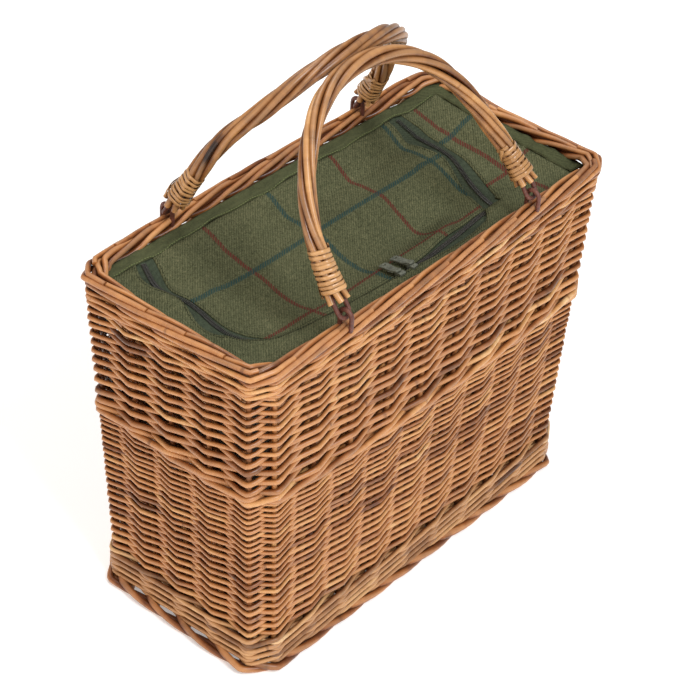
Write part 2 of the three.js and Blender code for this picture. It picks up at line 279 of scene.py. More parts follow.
def cloth_finish(name, dark, light, pitch):
    """A plain woven cloth: threads, slubs and a slow change of shade."""
    finish = Finish(name)
    place = finish.place()
    slub = finish.noise(place, 700.0, 2.0)
    broad = finish.noise(place, 24.0, 3.0)
    thread = weave_height(finish, place, pitch)
    shade = slub * 0.5 + broad * 0.45 + thread * 0.08
    colour = finish.ramp(shade, [(0.2, dark), (0.75, light)])
    height = thread * 0.5 + slub
    normal = finish.bump(height, 0.0005, 0.7)
    finish.set(Specular_IOR_Level=0.15)
    return finish.set(Base_Color=colour, Roughness=0.9 + (slub - 0.5) * 0.2, Normal=normal)


TWILL_PITCH = 0.0021
RED_YARN = linear(94, 36, 34)
TEAL_YARN = linear(34, 62, 62)


def tweed_finish(name, across, lengthwise, lines_from=-1.0):
    """Olive twill with windowpane lines: (place, colour, half width) across X and along Y, in metres.

    The lines show only to the right of lines_from."""
    finish = Finish(name)
    place = finish.place()
    parts = finish.node("ShaderNodeSeparateXYZ", {}, {"Vector": place})
    x = parts["X"]
    y = parts["Y"]
    slub = finish.noise(place, 850.0, 2.0, 0.6)
    fleck = finish.noise(place, 320.0, 2.0)
    broad = finish.noise(place, 16.0, 3.0)
    ribs = ((x - y) * (TURN / (TWILL_PITCH * math.sqrt(2))) + (fleck - 0.5) * 4.0).sine() * 0.5 + 0.5
    shade = slub * 0.75 + fleck * 0.35 + broad * 0.22 + ribs * 0.13
    colour = finish.ramp(shade, [
        (0.44, linear(42, 44, 29)),
        (0.62, linear(70, 72, 50)),
        (0.78, linear(89, 90, 64)),
        (0.98, linear(115, 112, 82)),
    ])
    strokes = (0.3 + finish.step(ribs, 0.25, 0.75) * 0.62) * finish.step(x, lines_from, lines_from + 0.002)
    wobble = (fleck - 0.5) * 0.0014
    for axis, lines in ((x, across), (y, lengthwise)):
        for middle, yarn, half in lines:
            band = finish.step((axis - middle + wobble).size(), half, half * 0.6)
            colour = finish.mix(band * strokes, colour, yarn)
    height = ribs * 0.8 + slub * 0.8
    normal = finish.bump(height, 0.0006, 0.75)
    finish.set(Specular_IOR_Level=0.1)
    return finish.set(Base_Color=colour, Roughness=0.92 + (slub - 0.5) * 0.12, Normal=normal)


def leather_finish(name):
    finish = Finish(name)
    grain = finish.attribute("grain")["Vector"]
    crease = finish.noise(finish.stretched(grain, (700, 1500, 1500)), 1.0, 3.0, 0.6)
    worn = finish.noise(finish.stretched(grain, (160, 260, 260)), 1.0, 2.0)
    colour = finish.ramp(crease * 0.4 + worn * 0.6, [
        (0.3, linear(70, 38, 30)),
        (0.55, linear(104, 58, 46)),
        (0.75, linear(138, 88, 72)),
    ])
    normal = finish.bump(crease, 0.0003, 0.6)
    return finish.set(Base_Color=colour, Roughness=0.5 + (worn - 0.5) * 0.3, Normal=normal)


def metal_finish(name):
    """Gunmetal paint worn brighter in places."""
    finish = Finish(name)
    place = finish.place()
    scuff = finish.noise(place, 420.0, 4.0, 0.65)
    broad = finish.noise(place, 90.0, 2.0)
    colour = finish.ramp(scuff * 0.6 + broad * 0.4, [
        (0.35, linear(80, 82, 71)),
        (0.6, linear(122, 124, 109)),
        (0.8, linear(166, 166, 148)),
    ])
    normal = finish.bump(scuff, 0.0001, 0.4)
    return finish.set(Base_Color=colour, Metallic=0.25, Roughness=0.4 + (scuff - 0.5) * 0.3, Normal=normal)


def coil_finish(name):
    finish = Finish(name)
    place = finish.place()
    rub = finish.noise(place, 500.0, 3.0)
    colour = finish.ramp(rub, [(0.3, linear(34, 33, 30)), (0.75, linear(70, 67, 60))])
    normal = finish.bump(rub, 0.0001, 0.4)
    return finish.set(Base_Color=colour, Roughness=0.4 + (rub - 0.5) * 0.3, Normal=normal)


def floor_finish(name):
    finish = Finish(name)
    place = finish.place()
    mottle = finish.noise(place, 3.0, 2.0)
    colour = finish.ramp(mottle, [(0.3, (0.93, 0.93, 0.93, 1)), (0.7, (0.95, 0.95, 0.95, 1))])
    finish.set(Emission_Color=(1, 1, 1, 1), Emission_Strength=0.34)
    return finish.set(Base_Color=colour, Roughness=0.9)


WILLOW = willow_finish("willow_rod", WILLOW_STOPS)
PALE_WILLOW = willow_finish("pale_willow_rod", PALE_STOPS)
HANDLE_WILLOW = willow_finish("handle_willow_rod", HANDLE_STOPS, 0.34, 1.6)
CANE = willow_finish("split_cane", CANE_STOPS, 0.32)
LEATHER = leather_finish("brown_leather_cord")
GUNMETAL = metal_finish("worn_gunmetal")
COIL = coil_finish("zip_coil_plastic")
BAG_CLOTH = cloth_finish("grey_bag_cloth", linear(74, 66, 59), linear(110, 101, 92), 0.0016)
HEM_CLOTH = cloth_finish("green_hem_cloth", linear(53, 56, 36), linear(94, 97, 66), 0.0012)
TAPE_CLOTH = cloth_finish("zip_tape_cloth", linear(40, 46, 35), linear(80, 89, 70), 0.0011)
# Pale thread of the hem's seam: real stitching, and also a painted highlight along the hem's folded edge
THREAD = cloth_finish("pale_green_thread", linear(92, 100, 62), linear(132, 140, 94), 0.0007)
# Dark thread of the zip's seams: real stitching, and also painted shadow along the edges of the lid and the
# cloth round it
ZIP_THREAD = cloth_finish("dark_green_thread", linear(34, 38, 24), linear(58, 62, 42), 0.0007)
LID_TWEED = tweed_finish(
    "lid_tweed",
    [(-0.1025, RED_YARN, 0.0027), (-0.0245, TEAL_YARN, 0.0031), (0.0585, RED_YARN, 0.0027),
     (0.131, TEAL_YARN, 0.0031)],
    [(0.0225, TEAL_YARN, 0.0033), (-0.047, RED_YARN, 0.0023)],
)
SURROUND_TWEED = tweed_finish(
    "surround_tweed",
    [(0.177, RED_YARN, 0.0027)],
    [(0.0365, TEAL_YARN, 0.0031), (-0.031, RED_YARN, 0.0025)],
    0.12,
)


# Node trees that lay rods along lines and set rows of small shapes

class Shaper(Tree):
    """A geometry node tree with named inputs."""

    def __init__(self, name, inputs):
        super().__init__(bpy.data.node_groups.new(name, "GeometryNodeTree"))
        interface = self.tree.interface
        interface.new_socket("Geometry", in_out="INPUT", socket_type="NodeSocketGeometry")
        self.named = {}
        for label, kind in inputs.items():
            item = interface.new_socket(label, in_out="INPUT", socket_type="NodeSocket" + kind)
            self.named[label] = item.identifier
        interface.new_socket("Geometry", in_out="OUTPUT", socket_type="NodeSocketGeometry")
        self.source = self.node("NodeGroupInput")

    def attribute(self, name, kind="FLOAT"):
        return self.node("GeometryNodeInputNamedAttribute", {"data_type": kind}, {"Name": name})["Attribute"]

    def store(self, geometry, name, value, kind="FLOAT_VECTOR"):
        settings = {"data_type": kind, "domain": "POINT"}
        sockets = {"Geometry": geometry, "Name": name, "Value": value}
        return self.node("GeometryNodeStoreNamedAttribute", settings, sockets)["Geometry"]

    def finish(self, geometry):
        """Ends the tree in real mesh with its material."""
        real = self.node("GeometryNodeRealizeInstances", {}, {"Geometry": geometry})["Geometry"]
        sockets = {"Geometry": real, "Material": self.source["Material"]}
        done = self.node("GeometryNodeSetMaterial", {}, sockets)["Geometry"]
        self.node("NodeGroupOutput", {}, {"Geometry": done})

    def run(self, holder, values):
        """Grows the tree over an object's lines and leaves a plain mesh in it."""
        modifier = holder.modifiers.new("shape", "NODES")
        modifier.node_group = self.tree
        for label, value in values.items():
            modifier[self.named[label]] = value
        shown = holder.evaluated_get(bpy.context.evaluated_depsgraph_get())
        grown = bpy.data.meshes.new_from_object(shown)
        holder.modifiers.remove(modifier)
        lines = holder.data
        holder.data = grown
        bpy.data.meshes.remove(lines)
        for name in ("radius", "out", "phase", "mark", "along", "profile"):
            if name in grown.attributes:
                grown.attributes.remove(grown.attributes[name])
        grown.name = holder.name
        return holder


SHARP_EDGE = 0.9


def rod_shaper():
    """Rods along lines that are woven in and out: behind a stake once in a period, else in front."""
    shaper = Shaper("laid_rods", {
        "Sides": "Int", "Flatness": "Float", "Depth": "Float", "Period": "Float", "Crease": "Float",
        "Wander": "Float", "Wander Rate": "Float", "Material": "Material",
    })
    source = shaper.source
    out = shaper.attribute("out", "FLOAT_VECTOR")
    along = shaper.attribute("along")
    mark = shaper.attribute("mark")
    radius = shaper.attribute("radius")
    curve = shaper.node("GeometryNodeMeshToCurve", {}, {"Mesh": source["Geometry"]})["Curve"]
    phase = shaper.attribute("phase")
    bays = phase.maths("FLOORED_MODULO", phase, source["Period"])
    nearest = bays.least(source["Period"] - bays, source["Crease"]).least(1.0, source["Crease"])
    swing = source["Depth"] * (nearest * 2.0 - 1.0)
    spot = shaper.combine(along * source["Wander Rate"], mark * 97.0, 1.0)
    noise = shaper.node("ShaderNodeTexNoise", {"noise_dimensions": "3D"}, {"Vector": spot, "Scale": 1.0})
    stray = shaper.vectors("SUBTRACT", noise["Color"], (0.5, 0.5, 0.5))
    offset = shaper.vectors("ADD", shaper.scaled(out, swing), shaper.scaled(stray, source["Wander"]))
    curve = shaper.node("GeometryNodeSetPosition", {}, {"Geometry": curve, "Offset": offset})["Geometry"]
    sockets = {"Curve": curve, "Normal": out}
    curve = shaper.node("GeometryNodeSetCurveNormal", {"mode": "FREE"}, sockets)["Curve"]
    sockets = {"Resolution": source["Sides"], "Radius": 1.0}
    ring = shaper.node("GeometryNodeCurvePrimitiveCircle", {"mode": "RADIUS"}, sockets)["Curve"]
    ring = shaper.store(ring, "profile", shaper.node("GeometryNodeInputPosition")["Position"])
    flat = shaper.combine(source["Flatness"], 1.0, 1.0)
    ring = shaper.node("GeometryNodeTransform", {}, {"Geometry": ring, "Scale": flat})["Geometry"]
    sockets = {"Curve": curve, "Profile Curve": ring, "Scale": radius, "Fill Caps": True}
    mesh = shaper.node("GeometryNodeCurveToMesh", {}, sockets)["Mesh"]
    profile = shaper.attribute("profile", "FLOAT_VECTOR")
    parts = shaper.node("ShaderNodeSeparateXYZ", {}, {"Vector": shaper.scaled(profile, radius)})
    grain = shaper.combine(along + mark * 7.3, parts["X"] + mark * 3.1, parts["Y"] - mark * 5.7)
    mesh = shaper.store(mesh, "grain", grain)
    # Which side of the rod faces outward: the willow finish paints a highlight on that side and shade on the
    # other
    facing = shaper.node("ShaderNodeSeparateXYZ", {}, {"Vector": profile})["X"]
    mesh = shaper.store(mesh, "facing", facing, "FLOAT")
    mesh = shaper.node("GeometryNodeSetShadeSmooth", {}, {"Geometry": mesh})["Geometry"]
    angle = shaper.node("GeometryNodeInputMeshEdgeAngle")["Unsigned Angle"]
    sharp = shaper.node("FunctionNodeCompare", {"operation": "GREATER_THAN"}, {"A": angle, "B": SHARP_EDGE})
    sockets = {"Geometry": mesh, "Selection": sharp["Result"], "Shade Smooth": False}
    mesh = shaper.node("GeometryNodeSetShadeSmooth", {"domain": "EDGE"}, sockets)["Geometry"]
    shaper.finish(mesh)
    return shaper


def row_shaper():
    """Small rounded shapes set in a row along lines: stitches and zip teeth."""
    shaper = Shaper("set_rows", {
        "Pitch": "Float", "Size": "Vector", "Aside": "Float", "Lift": "Float", "Skew": "Float",
        "Material": "Material",
    })
    source = shaper.source
    out = shaper.attribute("out", "FLOAT_VECTOR")
    curve = shaper.node("GeometryNodeMeshToCurve", {}, {"Mesh": source["Geometry"]})["Curve"]
    sockets = {"Curve": curve, "Length": source["Pitch"]}
    curve = shaper.node("GeometryNodeResampleCurve", {"mode": "LENGTH"}, sockets)["Curve"]
    tangent = shaper.node("GeometryNodeInputTangent")["Tangent"]
    across = shaper.vectors("CROSS_PRODUCT", out, tangent)
    chosen = {"Min": -1.0, "Max": 1.0, "Seed": 1}
    skew = shaper.node("FunctionNodeRandomValue", {"data_type": "FLOAT"}, chosen)["Value"] * source["Skew"]
    facing = shaper.vectors("ADD", tangent, shaper.scaled(across, skew))
    axes = {"primary_axis": "X", "secondary_axis": "Z"}
    sockets = {"Primary Axis": facing, "Secondary Axis": out}
    turn = shaper.node("FunctionNodeAxesToRotation", axes, sockets)["Rotation"]
    shift = shaper.vectors("ADD", shaper.scaled(across, source["Aside"]), shaper.scaled(out, source["Lift"]))
    shape = shaper.node("GeometryNodeMeshUVSphere", {}, {"Segments": 8, "Rings": 5, "Radius": 0.5})["Mesh"]
    shape = shaper.node("GeometryNodeSetShadeSmooth", {}, {"Geometry": shape})["Geometry"]
    places = shaper.node("GeometryNodeSetPosition", {}, {"Geometry": curve, "Offset": shift})["Geometry"]
    sockets = {"Points": places, "Instance": shape, "Rotation": turn, "Scale": source["Size"]}
    shaper.finish(shaper.node("GeometryNodeInstanceOnPoints", {}, sockets)["Instances"])
    return shaper


RODS = rod_shaper()
ROWS = row_shaper()


def run_along(points):
    """Distance along a line of points, at each of them."""
    steps = np.linalg.norm(np.diff(points, axis=0), axis=1)
    return np.concatenate([[0], np.cumsum(steps)])


class Line:
    """Points of one rod, cord or seam in millimetres, with what the trees read at each point."""

    def __init__(self, points, out, radius, tone=0.5, phase=0.0, closed=False):
        self.points = np.asarray(points, float)
        count = len(self.points)
        self.out = np.broadcast_to(np.asarray(out, float), (count, 3))
        self.radius = np.broadcast_to(np.asarray(radius, float), count)
        self.tone = np.broadcast_to(np.asarray(tone, float), count)
        self.phase = np.broadcast_to(np.asarray(phase, float), count)
        self.closed = closed
        self.along = run_along(self.points)
        self.mark = np.full(count, chance.random())

    def moved(self, matrix):
        """The line carried by a turn and a shift."""
        turn = np.array(matrix)[:3, :3]
        shift = np.array(matrix)[:3, 3]
        self.points = self.points @ turn.T + shift
        self.out = self.out @ turn.T
        return self


def link(name, data):
    made = bpy.data.objects.new(name, data)
    bpy.context.scene.collection.objects.link(made)
    return made


def lines_object(name, lines):
    """A mesh of bare edges, one chain for each line."""
    mesh = bpy.data.meshes.new(name)
    points = np.concatenate([line.points for line in lines]) * MM
    edges = []
    start = 0
    for line in lines:
        count = len(line.points)
        places = np.arange(start, start + count)
        edges.append(np.stack([places[:-1], places[1:]], 1))
        if line.closed:
            edges.append(np.array([[start + count - 1, start]]))
        start += count
    edges = np.concatenate(edges)
    mesh.vertices.add(len(points))
    mesh.vertices.foreach_set("co", points.ravel())
    mesh.edges.add(len(edges))
    mesh.edges.foreach_set("vertices", edges.ravel())
    for key, factor in (("radius", MM), ("tone", 1), ("phase", 1), ("mark", 1), ("along", MM)):
        values = np.concatenate([getattr(line, key) for line in lines]) * factor
        mesh.attributes.new(key, "FLOAT", "POINT").data.foreach_set("value", values)
    out = np.concatenate([line.out for line in lines])
    mesh.attributes.new("out", "FLOAT_VECTOR", "POINT").data.foreach_set("vector", out.ravel())
    mesh.update()
    return link(name, mesh)


def settle(piece, body, slot, *nodes):
    """Puts a finished piece on its body and hides the solids that it stands for. Its slot is not used."""
    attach(piece, body)
    if nodes:
        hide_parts(*nodes)
    return piece


PLAIN_LAY = {
    "Sides": 8, "Flatness": 1.0, "Depth": 0.0, "Period": 2.0, "Crease": 0.25, "Wander": 0.0,
    "Wander Rate": 40.0,
}


def lay(name, lines, material, **changes):
    values = {**PLAIN_LAY, **{key.replace("_", " "): value for key, value in changes.items()}}
    return RODS.run(lines_object(name, lines), {**values, "Material": material})


def set_row(name, lines, material, pitch, size, aside=0.0, lift=0.0, skew=0.0):
    return ROWS.run(lines_object(name, lines), {
        "Pitch": pitch * MM, "Size": [part * MM for part in size], "Aside": aside * MM, "Lift": lift * MM,
        "Skew": skew, "Material": material,
    })


# The wall's plan

def blend(low, high, share):
    return low + (high - low) * share


def ramped(value, start, over):
    """A share from 0 to 1 that grows from a start over a distance."""
    return np.clip((value - start) / over, 0, 1)


def wall_half(z):
    share = (z - WALL_LOW["z"]) / (WALL_HIGH["z"] - WALL_LOW["z"])
    return (
        blend(WALL_LOW["half_x"], WALL_HIGH["half_x"], share),
        blend(WALL_LOW["half_y"], WALL_HIGH["half_y"], share),
    )


def plan_corners(half_x, half_y, cut=CORNER):
    """Corners of the eight-sided plan, anticlockwise from the left end of the front."""
    x = half_x - cut[0]
    y = half_y - cut[1]
    xs = np.stack([-x, x, half_x, half_x, x, -x, -half_x, -half_x], -1)
    ys = np.stack([-half_y, -half_y, -y, y, half_y, half_y, y, -y], -1)
    return xs, ys


def plan_points(u, half_x, half_y, bow=0.0, cut=CORNER):
    """Places round the plan at u bays from its start, with each side bowed out by a share of its bow."""
    u = np.mod(u, STAKE_COUNT)
    side = np.clip(np.searchsorted(BAY_ENDS, u, side="right") - 1, 0, len(BAYS) - 1)
    along = (u - BAY_ENDS[side]) / BAYS[side]
    half_x = np.broadcast_to(half_x, u.shape)
    half_y = np.broadcast_to(half_y, u.shape)
    xs, ys = plan_corners(half_x, half_y, cut)
    rows = np.arange(len(u))
    following = (side + 1) % len(BAYS)
    x = blend(xs[rows, side], xs[rows, following], along)
    y = blend(ys[rows, side], ys[rows, following], along)
    across = 4 * along * (1 - along) * bow
    y = y + np.where(side % 4 == 0, np.sign(y) * BOW["long"] * across, 0)
    x = x + np.where(side % 4 == 2, np.sign(x) * BOW["short"] * across, 0)
    return x, y


def wall_points(u, z, out=0.0):
    """Points of the wall's outer face, moved out by a distance and by the bow of each side."""
    u = np.asarray(u, float)
    z = np.broadcast_to(np.asarray(z, float), u.shape)
    half_x, half_y = wall_half(z)
    bow = np.interp(z, [0, BOW["z"], BOW["end"]], [0, 1, BOW["at_end"]])
    x, y = plan_points(u, half_x + out, half_y + out, bow)
    return np.stack([x, y, z], -1)


ROUNDING = 0.03


def eased(place, u):
    """A place round the plan with its corners eased as a rod bends."""
    return (place(u - ROUNDING) + 2 * place(u) + place(u + ROUNDING)) / 4


def outward(place, u):
    """Level outward direction of a line round the basket."""
    run = place(u + 0.15) - place(u - 0.15)
    out = np.stack([run[:, 1], -run[:, 0], np.zeros(len(u))], -1)
    return out / np.linalg.norm(out, axis=1)[:, None]


DARK_STROKE = {"share": 0.04, "tone": 0.19}


def stroke_tones(n, period, base, spread):
    """A tone for each stroke between two places behind the stakes."""
    stroke = np.floor(n / period).astype(int)
    stroke -= stroke.min()
    count = stroke.max() + 1
    shades = base + spread * chance.standard_normal(count)
    shades = np.where(chance.random(count) < DARK_STROKE["share"], DARK_STROKE["tone"], shades)
    return np.clip(shades, 0.02, 0.98)[stroke]


# Places in each bay where a woven rod has a point: close to the stakes, where it bends, and few between
BAY_STEPS = np.array([0, 0.09, 0.24, 0.5, 0.76, 0.91])


def rod_tone(spread=0.1, middle=0.5):
    return float(np.clip(middle + spread * chance.standard_normal(), 0.05, 0.95))


def bay_places(first, last):
    """Points of a woven rod from one bay to another."""
    return (np.arange(first, last)[:, None] + BAY_STEPS).ravel()


RANDING = {"past_top": 1.5, "stray": 0.5, "uneven": 0.07, "tone": 0.47, "by_rod": 0.1, "by_stroke": 0.08}
WALING = {"strands": 3, "uneven": 0.06, "by_stroke": 0.1}


def randing(band_from, band_to, first_climb, last_climb, thick, thin):
    """One rod from every stake, in front of one stake and behind the next, climbing as it goes."""
    height = band_to - band_from
    bays = 2 * height / (first_climb + last_climb)
    lines = []
    for rod in range(STAKE_COUNT):
        n = bay_places(-1, math.ceil(bays))
        share = np.clip(n / bays, 0, 1)
        climb = first_climb * n + (last_climb - first_climb) * n * n / (2 * bays)
        z = np.minimum(band_from + climb, band_to + RANDING["past_top"])
        z = z + RANDING["stray"] * chance.standard_normal()
        place = lambda u: wall_points(u, z, -STAKE["inset"])
        u = rod + n
        radius = blend(thick, thin, share) * (1 + RANDING["uneven"] * chance.standard_normal())
        tone = stroke_tones(n + 1, 2, rod_tone(RANDING["by_rod"], RANDING["tone"]), RANDING["by_stroke"])
        lines.append(Line(eased(place, u), outward(place, u), radius, tone, n + 1))
    return lines


def waling(z, rows, pitch, radius, slant, middle=0.5, spread=0.12, out=0.0):
    """Rounds of three rods, each in front of two stakes and behind one."""
    lines = []
    for row in range(rows):
        for strand in range(WALING["strands"]):
            n = bay_places(0, STAKE_COUNT)
            level = z + row * pitch + slant * np.sin(TURN * (n - 1.5) / WALING["strands"])
            place = lambda u: wall_points(u, level, out - STAKE["inset"])
            u = n + strand + row
            tone = stroke_tones(n, WALING["strands"], rod_tone(spread, middle), WALING["by_stroke"])
            thick = radius * (1 + WALING["uneven"] * chance.standard_normal())
            lines.append(Line(eased(place, u), outward(place, u), thick, tone, n, True))
    return lines


RANDING_LAY = {"Period": 2.0, "Crease": 0.1, "Wander": 0.002, "Wander_Rate": 36.0}
WALING_LAY = {"Period": 3.0, "Crease": 0.15, "Wander": 0.0014, "Wander_Rate": 32.0}


def build_walls():
    lower = randing(band_from=43.6, band_to=201.6, first_climb=4.65, last_climb=2.85, thick=2.25, thin=1.5)
    upper = randing(band_from=215.6, band_to=319.5, first_climb=5.95, last_climb=3.6, thick=2.7, thin=1.9)
    top = waling(z=324.0, rows=2, pitch=6.6, radius=2.0, slant=2.1)
    upsett = waling(z=12.2, rows=4, pitch=7.7, radius=2.25, slant=2.4, middle=0.36, spread=0.2, out=1.2)
    middle = waling(z=208, rows=1, pitch=6, radius=2.75, slant=2.9, middle=0.52)
    for name, lines, material, depth, sides, style, place in (
        ("lower_weave_rods", lower, WILLOW, 4.8, 8, RANDING_LAY, ("willow", "lower_weave")),
        ("upper_weave_rods", upper, WILLOW, 5.2, 10, RANDING_LAY, ("willow", "upper_weave")),
        ("top_wale_rods", top, WILLOW, 4.8, 8, WALING_LAY, ("willow",)),
        ("upsett_wale_rods", upsett, PALE_WILLOW, 5.9, 10, WALING_LAY, ("pale_willow", "upsett_wale")),
        ("middle_wale_rods", middle, WILLOW, 5.9, 10, WALING_LAY, ("pale_willow", "middle_wale")),
    ):
        piece = lay(name, lines, material, Depth=depth * MM, Sides=sides, **style)
        settle(piece, "basket", *place)
    stakes = []
    for stake in range(STAKE_COUNT):
        z = np.arange(STAKE["from"], STAKE["to"], STAKE["step"])
        u = np.full(len(z), stake, float)
        place = lambda v: wall_points(v, z, -STAKE["inset"])
        # The stakes' dark tone paints the shade in the gaps between the weavers, where the stakes show
        stakes.append(Line(place(u), outward(place, u), STAKE["radius"], rod_tone(0.1, 0.2)))
    piece = lay("stakes", stakes, WILLOW, Sides=8, Wander=0.0008)
    settle(piece, "basket", "willow")


# Borders: the stakes' ends bent to the right and laid round each other as a rope

RIM = {
    "half_x": 232, "half_y": 109, "middle_in": 9.0, "middle_z": 340.9, "ring_x": 6.2, "ring_z": 6.2,
    "core": 3.7, "bow": BOW["at_end"], "cut": CORNER, "warp": 1.0,
}
FOOT = {
    "half_x": 222, "half_y": 107, "middle_in": 6.2, "middle_z": 5.9, "ring_x": 2.9, "ring_z": 2.3,
    "bow": 0.0, "cut": (25, 21), "warp": 0.0,
}
# A border rod's course: bays from its stake, and degrees round the border from its outer side over its top
RIM_ROD = {
    "bays": [0, 1, 2, 3, 4, 5, 5.45], "degrees": [66, 116, 168, 325, 375, 421, 436],
    "start": 0.2, "bent": 0.85, "tucked": 5.45, "end": 1.0, "thick": 2.6, "thin": 2.45, "tone": 0.39,
}
FOOT_ROD = {
    "bays": [0, 0.3, 2.4], "degrees": [160, 84, -189],
    "start": 2.3, "bent": 0.3, "tucked": 2.0, "end": 0.8, "thick": 3.3, "thin": 3.1, "tone": 0.36,
}
TUCK = 0.4
# The first bays of a border rod, with the rounding of its start
ROD_START = {"bays": [-0.04, 0.0, 0.04], "radius": [0.72, 0.94, 1]}
COURSE_EASING = (-0.2, -0.1, 0, 0.1, 0.2)
UNEVEN = {"angle": 0.07, "reach": 0.03, "place": 0.06, "radius": 0.05, "tone": 0.12}
# The rim isn't level: its back rises, most at the right corner, and its right end sinks in the middle
WARP = {
    "back": 3.2, "back_from": 30, "back_over": 70, "corner": 0.95, "corner_from": 128, "corner_over": 50,
    "right": 4.0, "right_from": 150, "right_over": 80,
}


def warp(x, y):
    """Height of the rim over a level one."""
    corner = 1 + WARP["corner"] * ramped(x, WARP["corner_from"], WARP["corner_over"])
    back = WARP["back"] * ramped(y, WARP["back_from"], WARP["back_over"]) * corner
    sunk = np.clip(1 - (y / RIM["half_y"]) ** 2, 0, 1)
    return back - WARP["right"] * ramped(x, WARP["right_from"], WARP["right_over"]) * sunk


def border_points(ring, u, out, z):
    """Places round a border at a distance outside its outer edge and a height on a level one."""
    x, y = plan_points(u, ring["half_x"] + out, ring["half_y"] + out, ring["bow"], ring["cut"])
    return np.stack([x, y, z + ring["warp"] * warp(x, y)], -1)


def border(ring, rod, samples=10):
    """One rod for each stake: it bends over beside the stake and winds round the border's middle."""
    lines = []
    span = rod["bays"][-1]
    for stake in range(STAKE_COUNT):
        n = np.concatenate([ROD_START["bays"], np.linspace(0.1, span, int(span * samples))])
        share = n / span
        courses = [np.interp(n + shift, rod["bays"], rod["degrees"]) for shift in COURSE_EASING]
        angle = np.radians(np.mean(courses, axis=0)) + UNEVEN["angle"] * chance.standard_normal()
        stages = [ROD_START["bays"][0], rod["bent"], rod["tucked"], rod["tucked"] + TUCK]
        reach = np.interp(n, stages, [rod["start"], 1, 1, rod["end"]])
        reach = reach * (1 + UNEVEN["reach"] * chance.standard_normal())
        out = ring["ring_x"] * reach * np.cos(angle) - ring["middle_in"]
        z = ring["middle_z"] + ring["ring_z"] * reach * np.sin(angle)
        place = lambda u: border_points(ring, u, out, z)
        u = stake + n + UNEVEN["place"] * chance.standard_normal()
        radius = blend(rod["thick"], rod["thin"], share) * (1 + UNEVEN["radius"] * chance.standard_normal())
        radius = radius * np.interp(n, ROD_START["bays"], ROD_START["radius"])
        level = outward(place, u) * np.cos(angle)[:, None]
        rising = np.array([0, 0, 1.0]) * np.sin(angle)[:, None]
        lines.append(Line(eased(place, u), level + rising, radius, rod_tone(UNEVEN["tone"], rod["tone"])))
    return lines


def build_borders():
    u = np.arange(0, STAKE_COUNT, 0.125)
    place = lambda v: border_points(RIM, v, -RIM["middle_in"], np.full(len(v), RIM["middle_z"]))
    tucked_ends = Line(eased(place, u), outward(place, u), RIM["core"], 0.2, 0.0, True)
    rods = border(RIM, RIM_ROD) + [tucked_ends]
    piece = lay("rim_border_rods", rods, WILLOW, Sides=10, Wander=0.0009)
    settle(piece, "basket", "willow", "rim_border")
    piece = lay("foot_border_rods", border(FOOT, FOOT_ROD), WILLOW, Sides=10, Wander=0.0004)
    settle(piece, "basket", "willow", "foot_border")


BASE = {
    "z": 19, "half_x": 194, "half_y": 82, "sticks": 8, "stick": 2.7, "edge": 6, "stick_points": 30,
    "weaver": 2.3, "pitch": 4.9, "depth": 3.2, "weaver_points": 40,
}


def build_base():
    """Long sticks with rods woven across them, seen from below."""
    outermost = BASE["half_y"] - BASE["edge"]
    rows = np.linspace(-outermost, outermost, BASE["sticks"])
    down = (0, 0, -1)
    x = np.linspace(-BASE["half_x"], BASE["half_x"], BASE["stick_points"])
    sticks = []
    for y in rows:
        points = np.stack(np.broadcast_arrays(x, y, BASE["z"]), -1)
        sticks.append(Line(points, down, BASE["stick"], rod_tone(0.15, 0.45)))
    y = np.linspace(-BASE["half_y"], BASE["half_y"], BASE["weaver_points"])
    spacing = rows[1] - rows[0]
    weavers = []
    for count, x in enumerate(np.arange(-BASE["half_x"] + 3, BASE["half_x"] - 2, BASE["pitch"])):
        phase = (y - rows[0]) / spacing + count
        points = np.stack(np.broadcast_arrays(x, y, BASE["z"]), -1)
        weavers.append(Line(points, down, BASE["weaver"], rod_tone(), phase))
    piece = lay("base_sticks", sticks, WILLOW, Sides=8)
    settle(piece, "basket", "willow")
    piece = lay("base_weavers", weavers, WILLOW, Depth=BASE["depth"] * MM, Sides=6, **RANDING_LAY)
    settle(piece, "basket", "willow", "base_panel")


# Handles

ARCH = {"half": 122, "height": 175, "power": 2.2, "foot": 15, "askew_over": 60, "bow_z": 94, "bow_over": 40}
GRIP = {
    "rods": 6, "ring": 5.45, "radius": 2.95, "steps": 110, "splay": 2.8, "end_length": 0.022,
    "sway": 0.16, "sways": 2.3, "swell": 0.35, "swells": 3.1, "uneven": 0.08, "thinner_ends": 0.08,
    "tone": 0.31, "by_rod": 0.17, "paler_ends": 0.35,
}
BINDING = {
    "from": 22, "pitch": 4.1, "ring": 8.9, "flare": 2.4, "dip": 0.7, "half_width": 1.75, "flat": 0.26,
    "samples": 1200, "wound_points": 330, "tail": 0.45, "tail_points": 60, "tail_lift": 1.1,
    "uneven_width": 0.12, "tone": 0.3, "by_strip": 0.08,
}
LOOP = {"radius": 2.05, "half": 6.2, "reach_in_grip": 21, "rise": 7.5, "depth": 14.5}
HANDLES = {
    "front": {
        "side": -1, "shift": -5, "lean": 34.6, "twist": 1.55, "bark": None,
        "skew": -5.5, "bow": 0.0, "fall": 1.2, "bound": {"left": 39, "right": 31},
    },
    "back": {
        "side": 1, "shift": -2, "lean": 30.9, "twist": 2.0, "bark": 4,
        "skew": 4.0, "bow": 4.0, "fall": 2.6, "bound": {"left": 33, "right": 30},
    },
}
BARK = {"tone": 0.4, "darker": 0.38, "at": 0.165, "spread": 0.045}
HINGE = {"y": 103, "z": 355.5}
ENDS = {"left": -1, "right": 1}


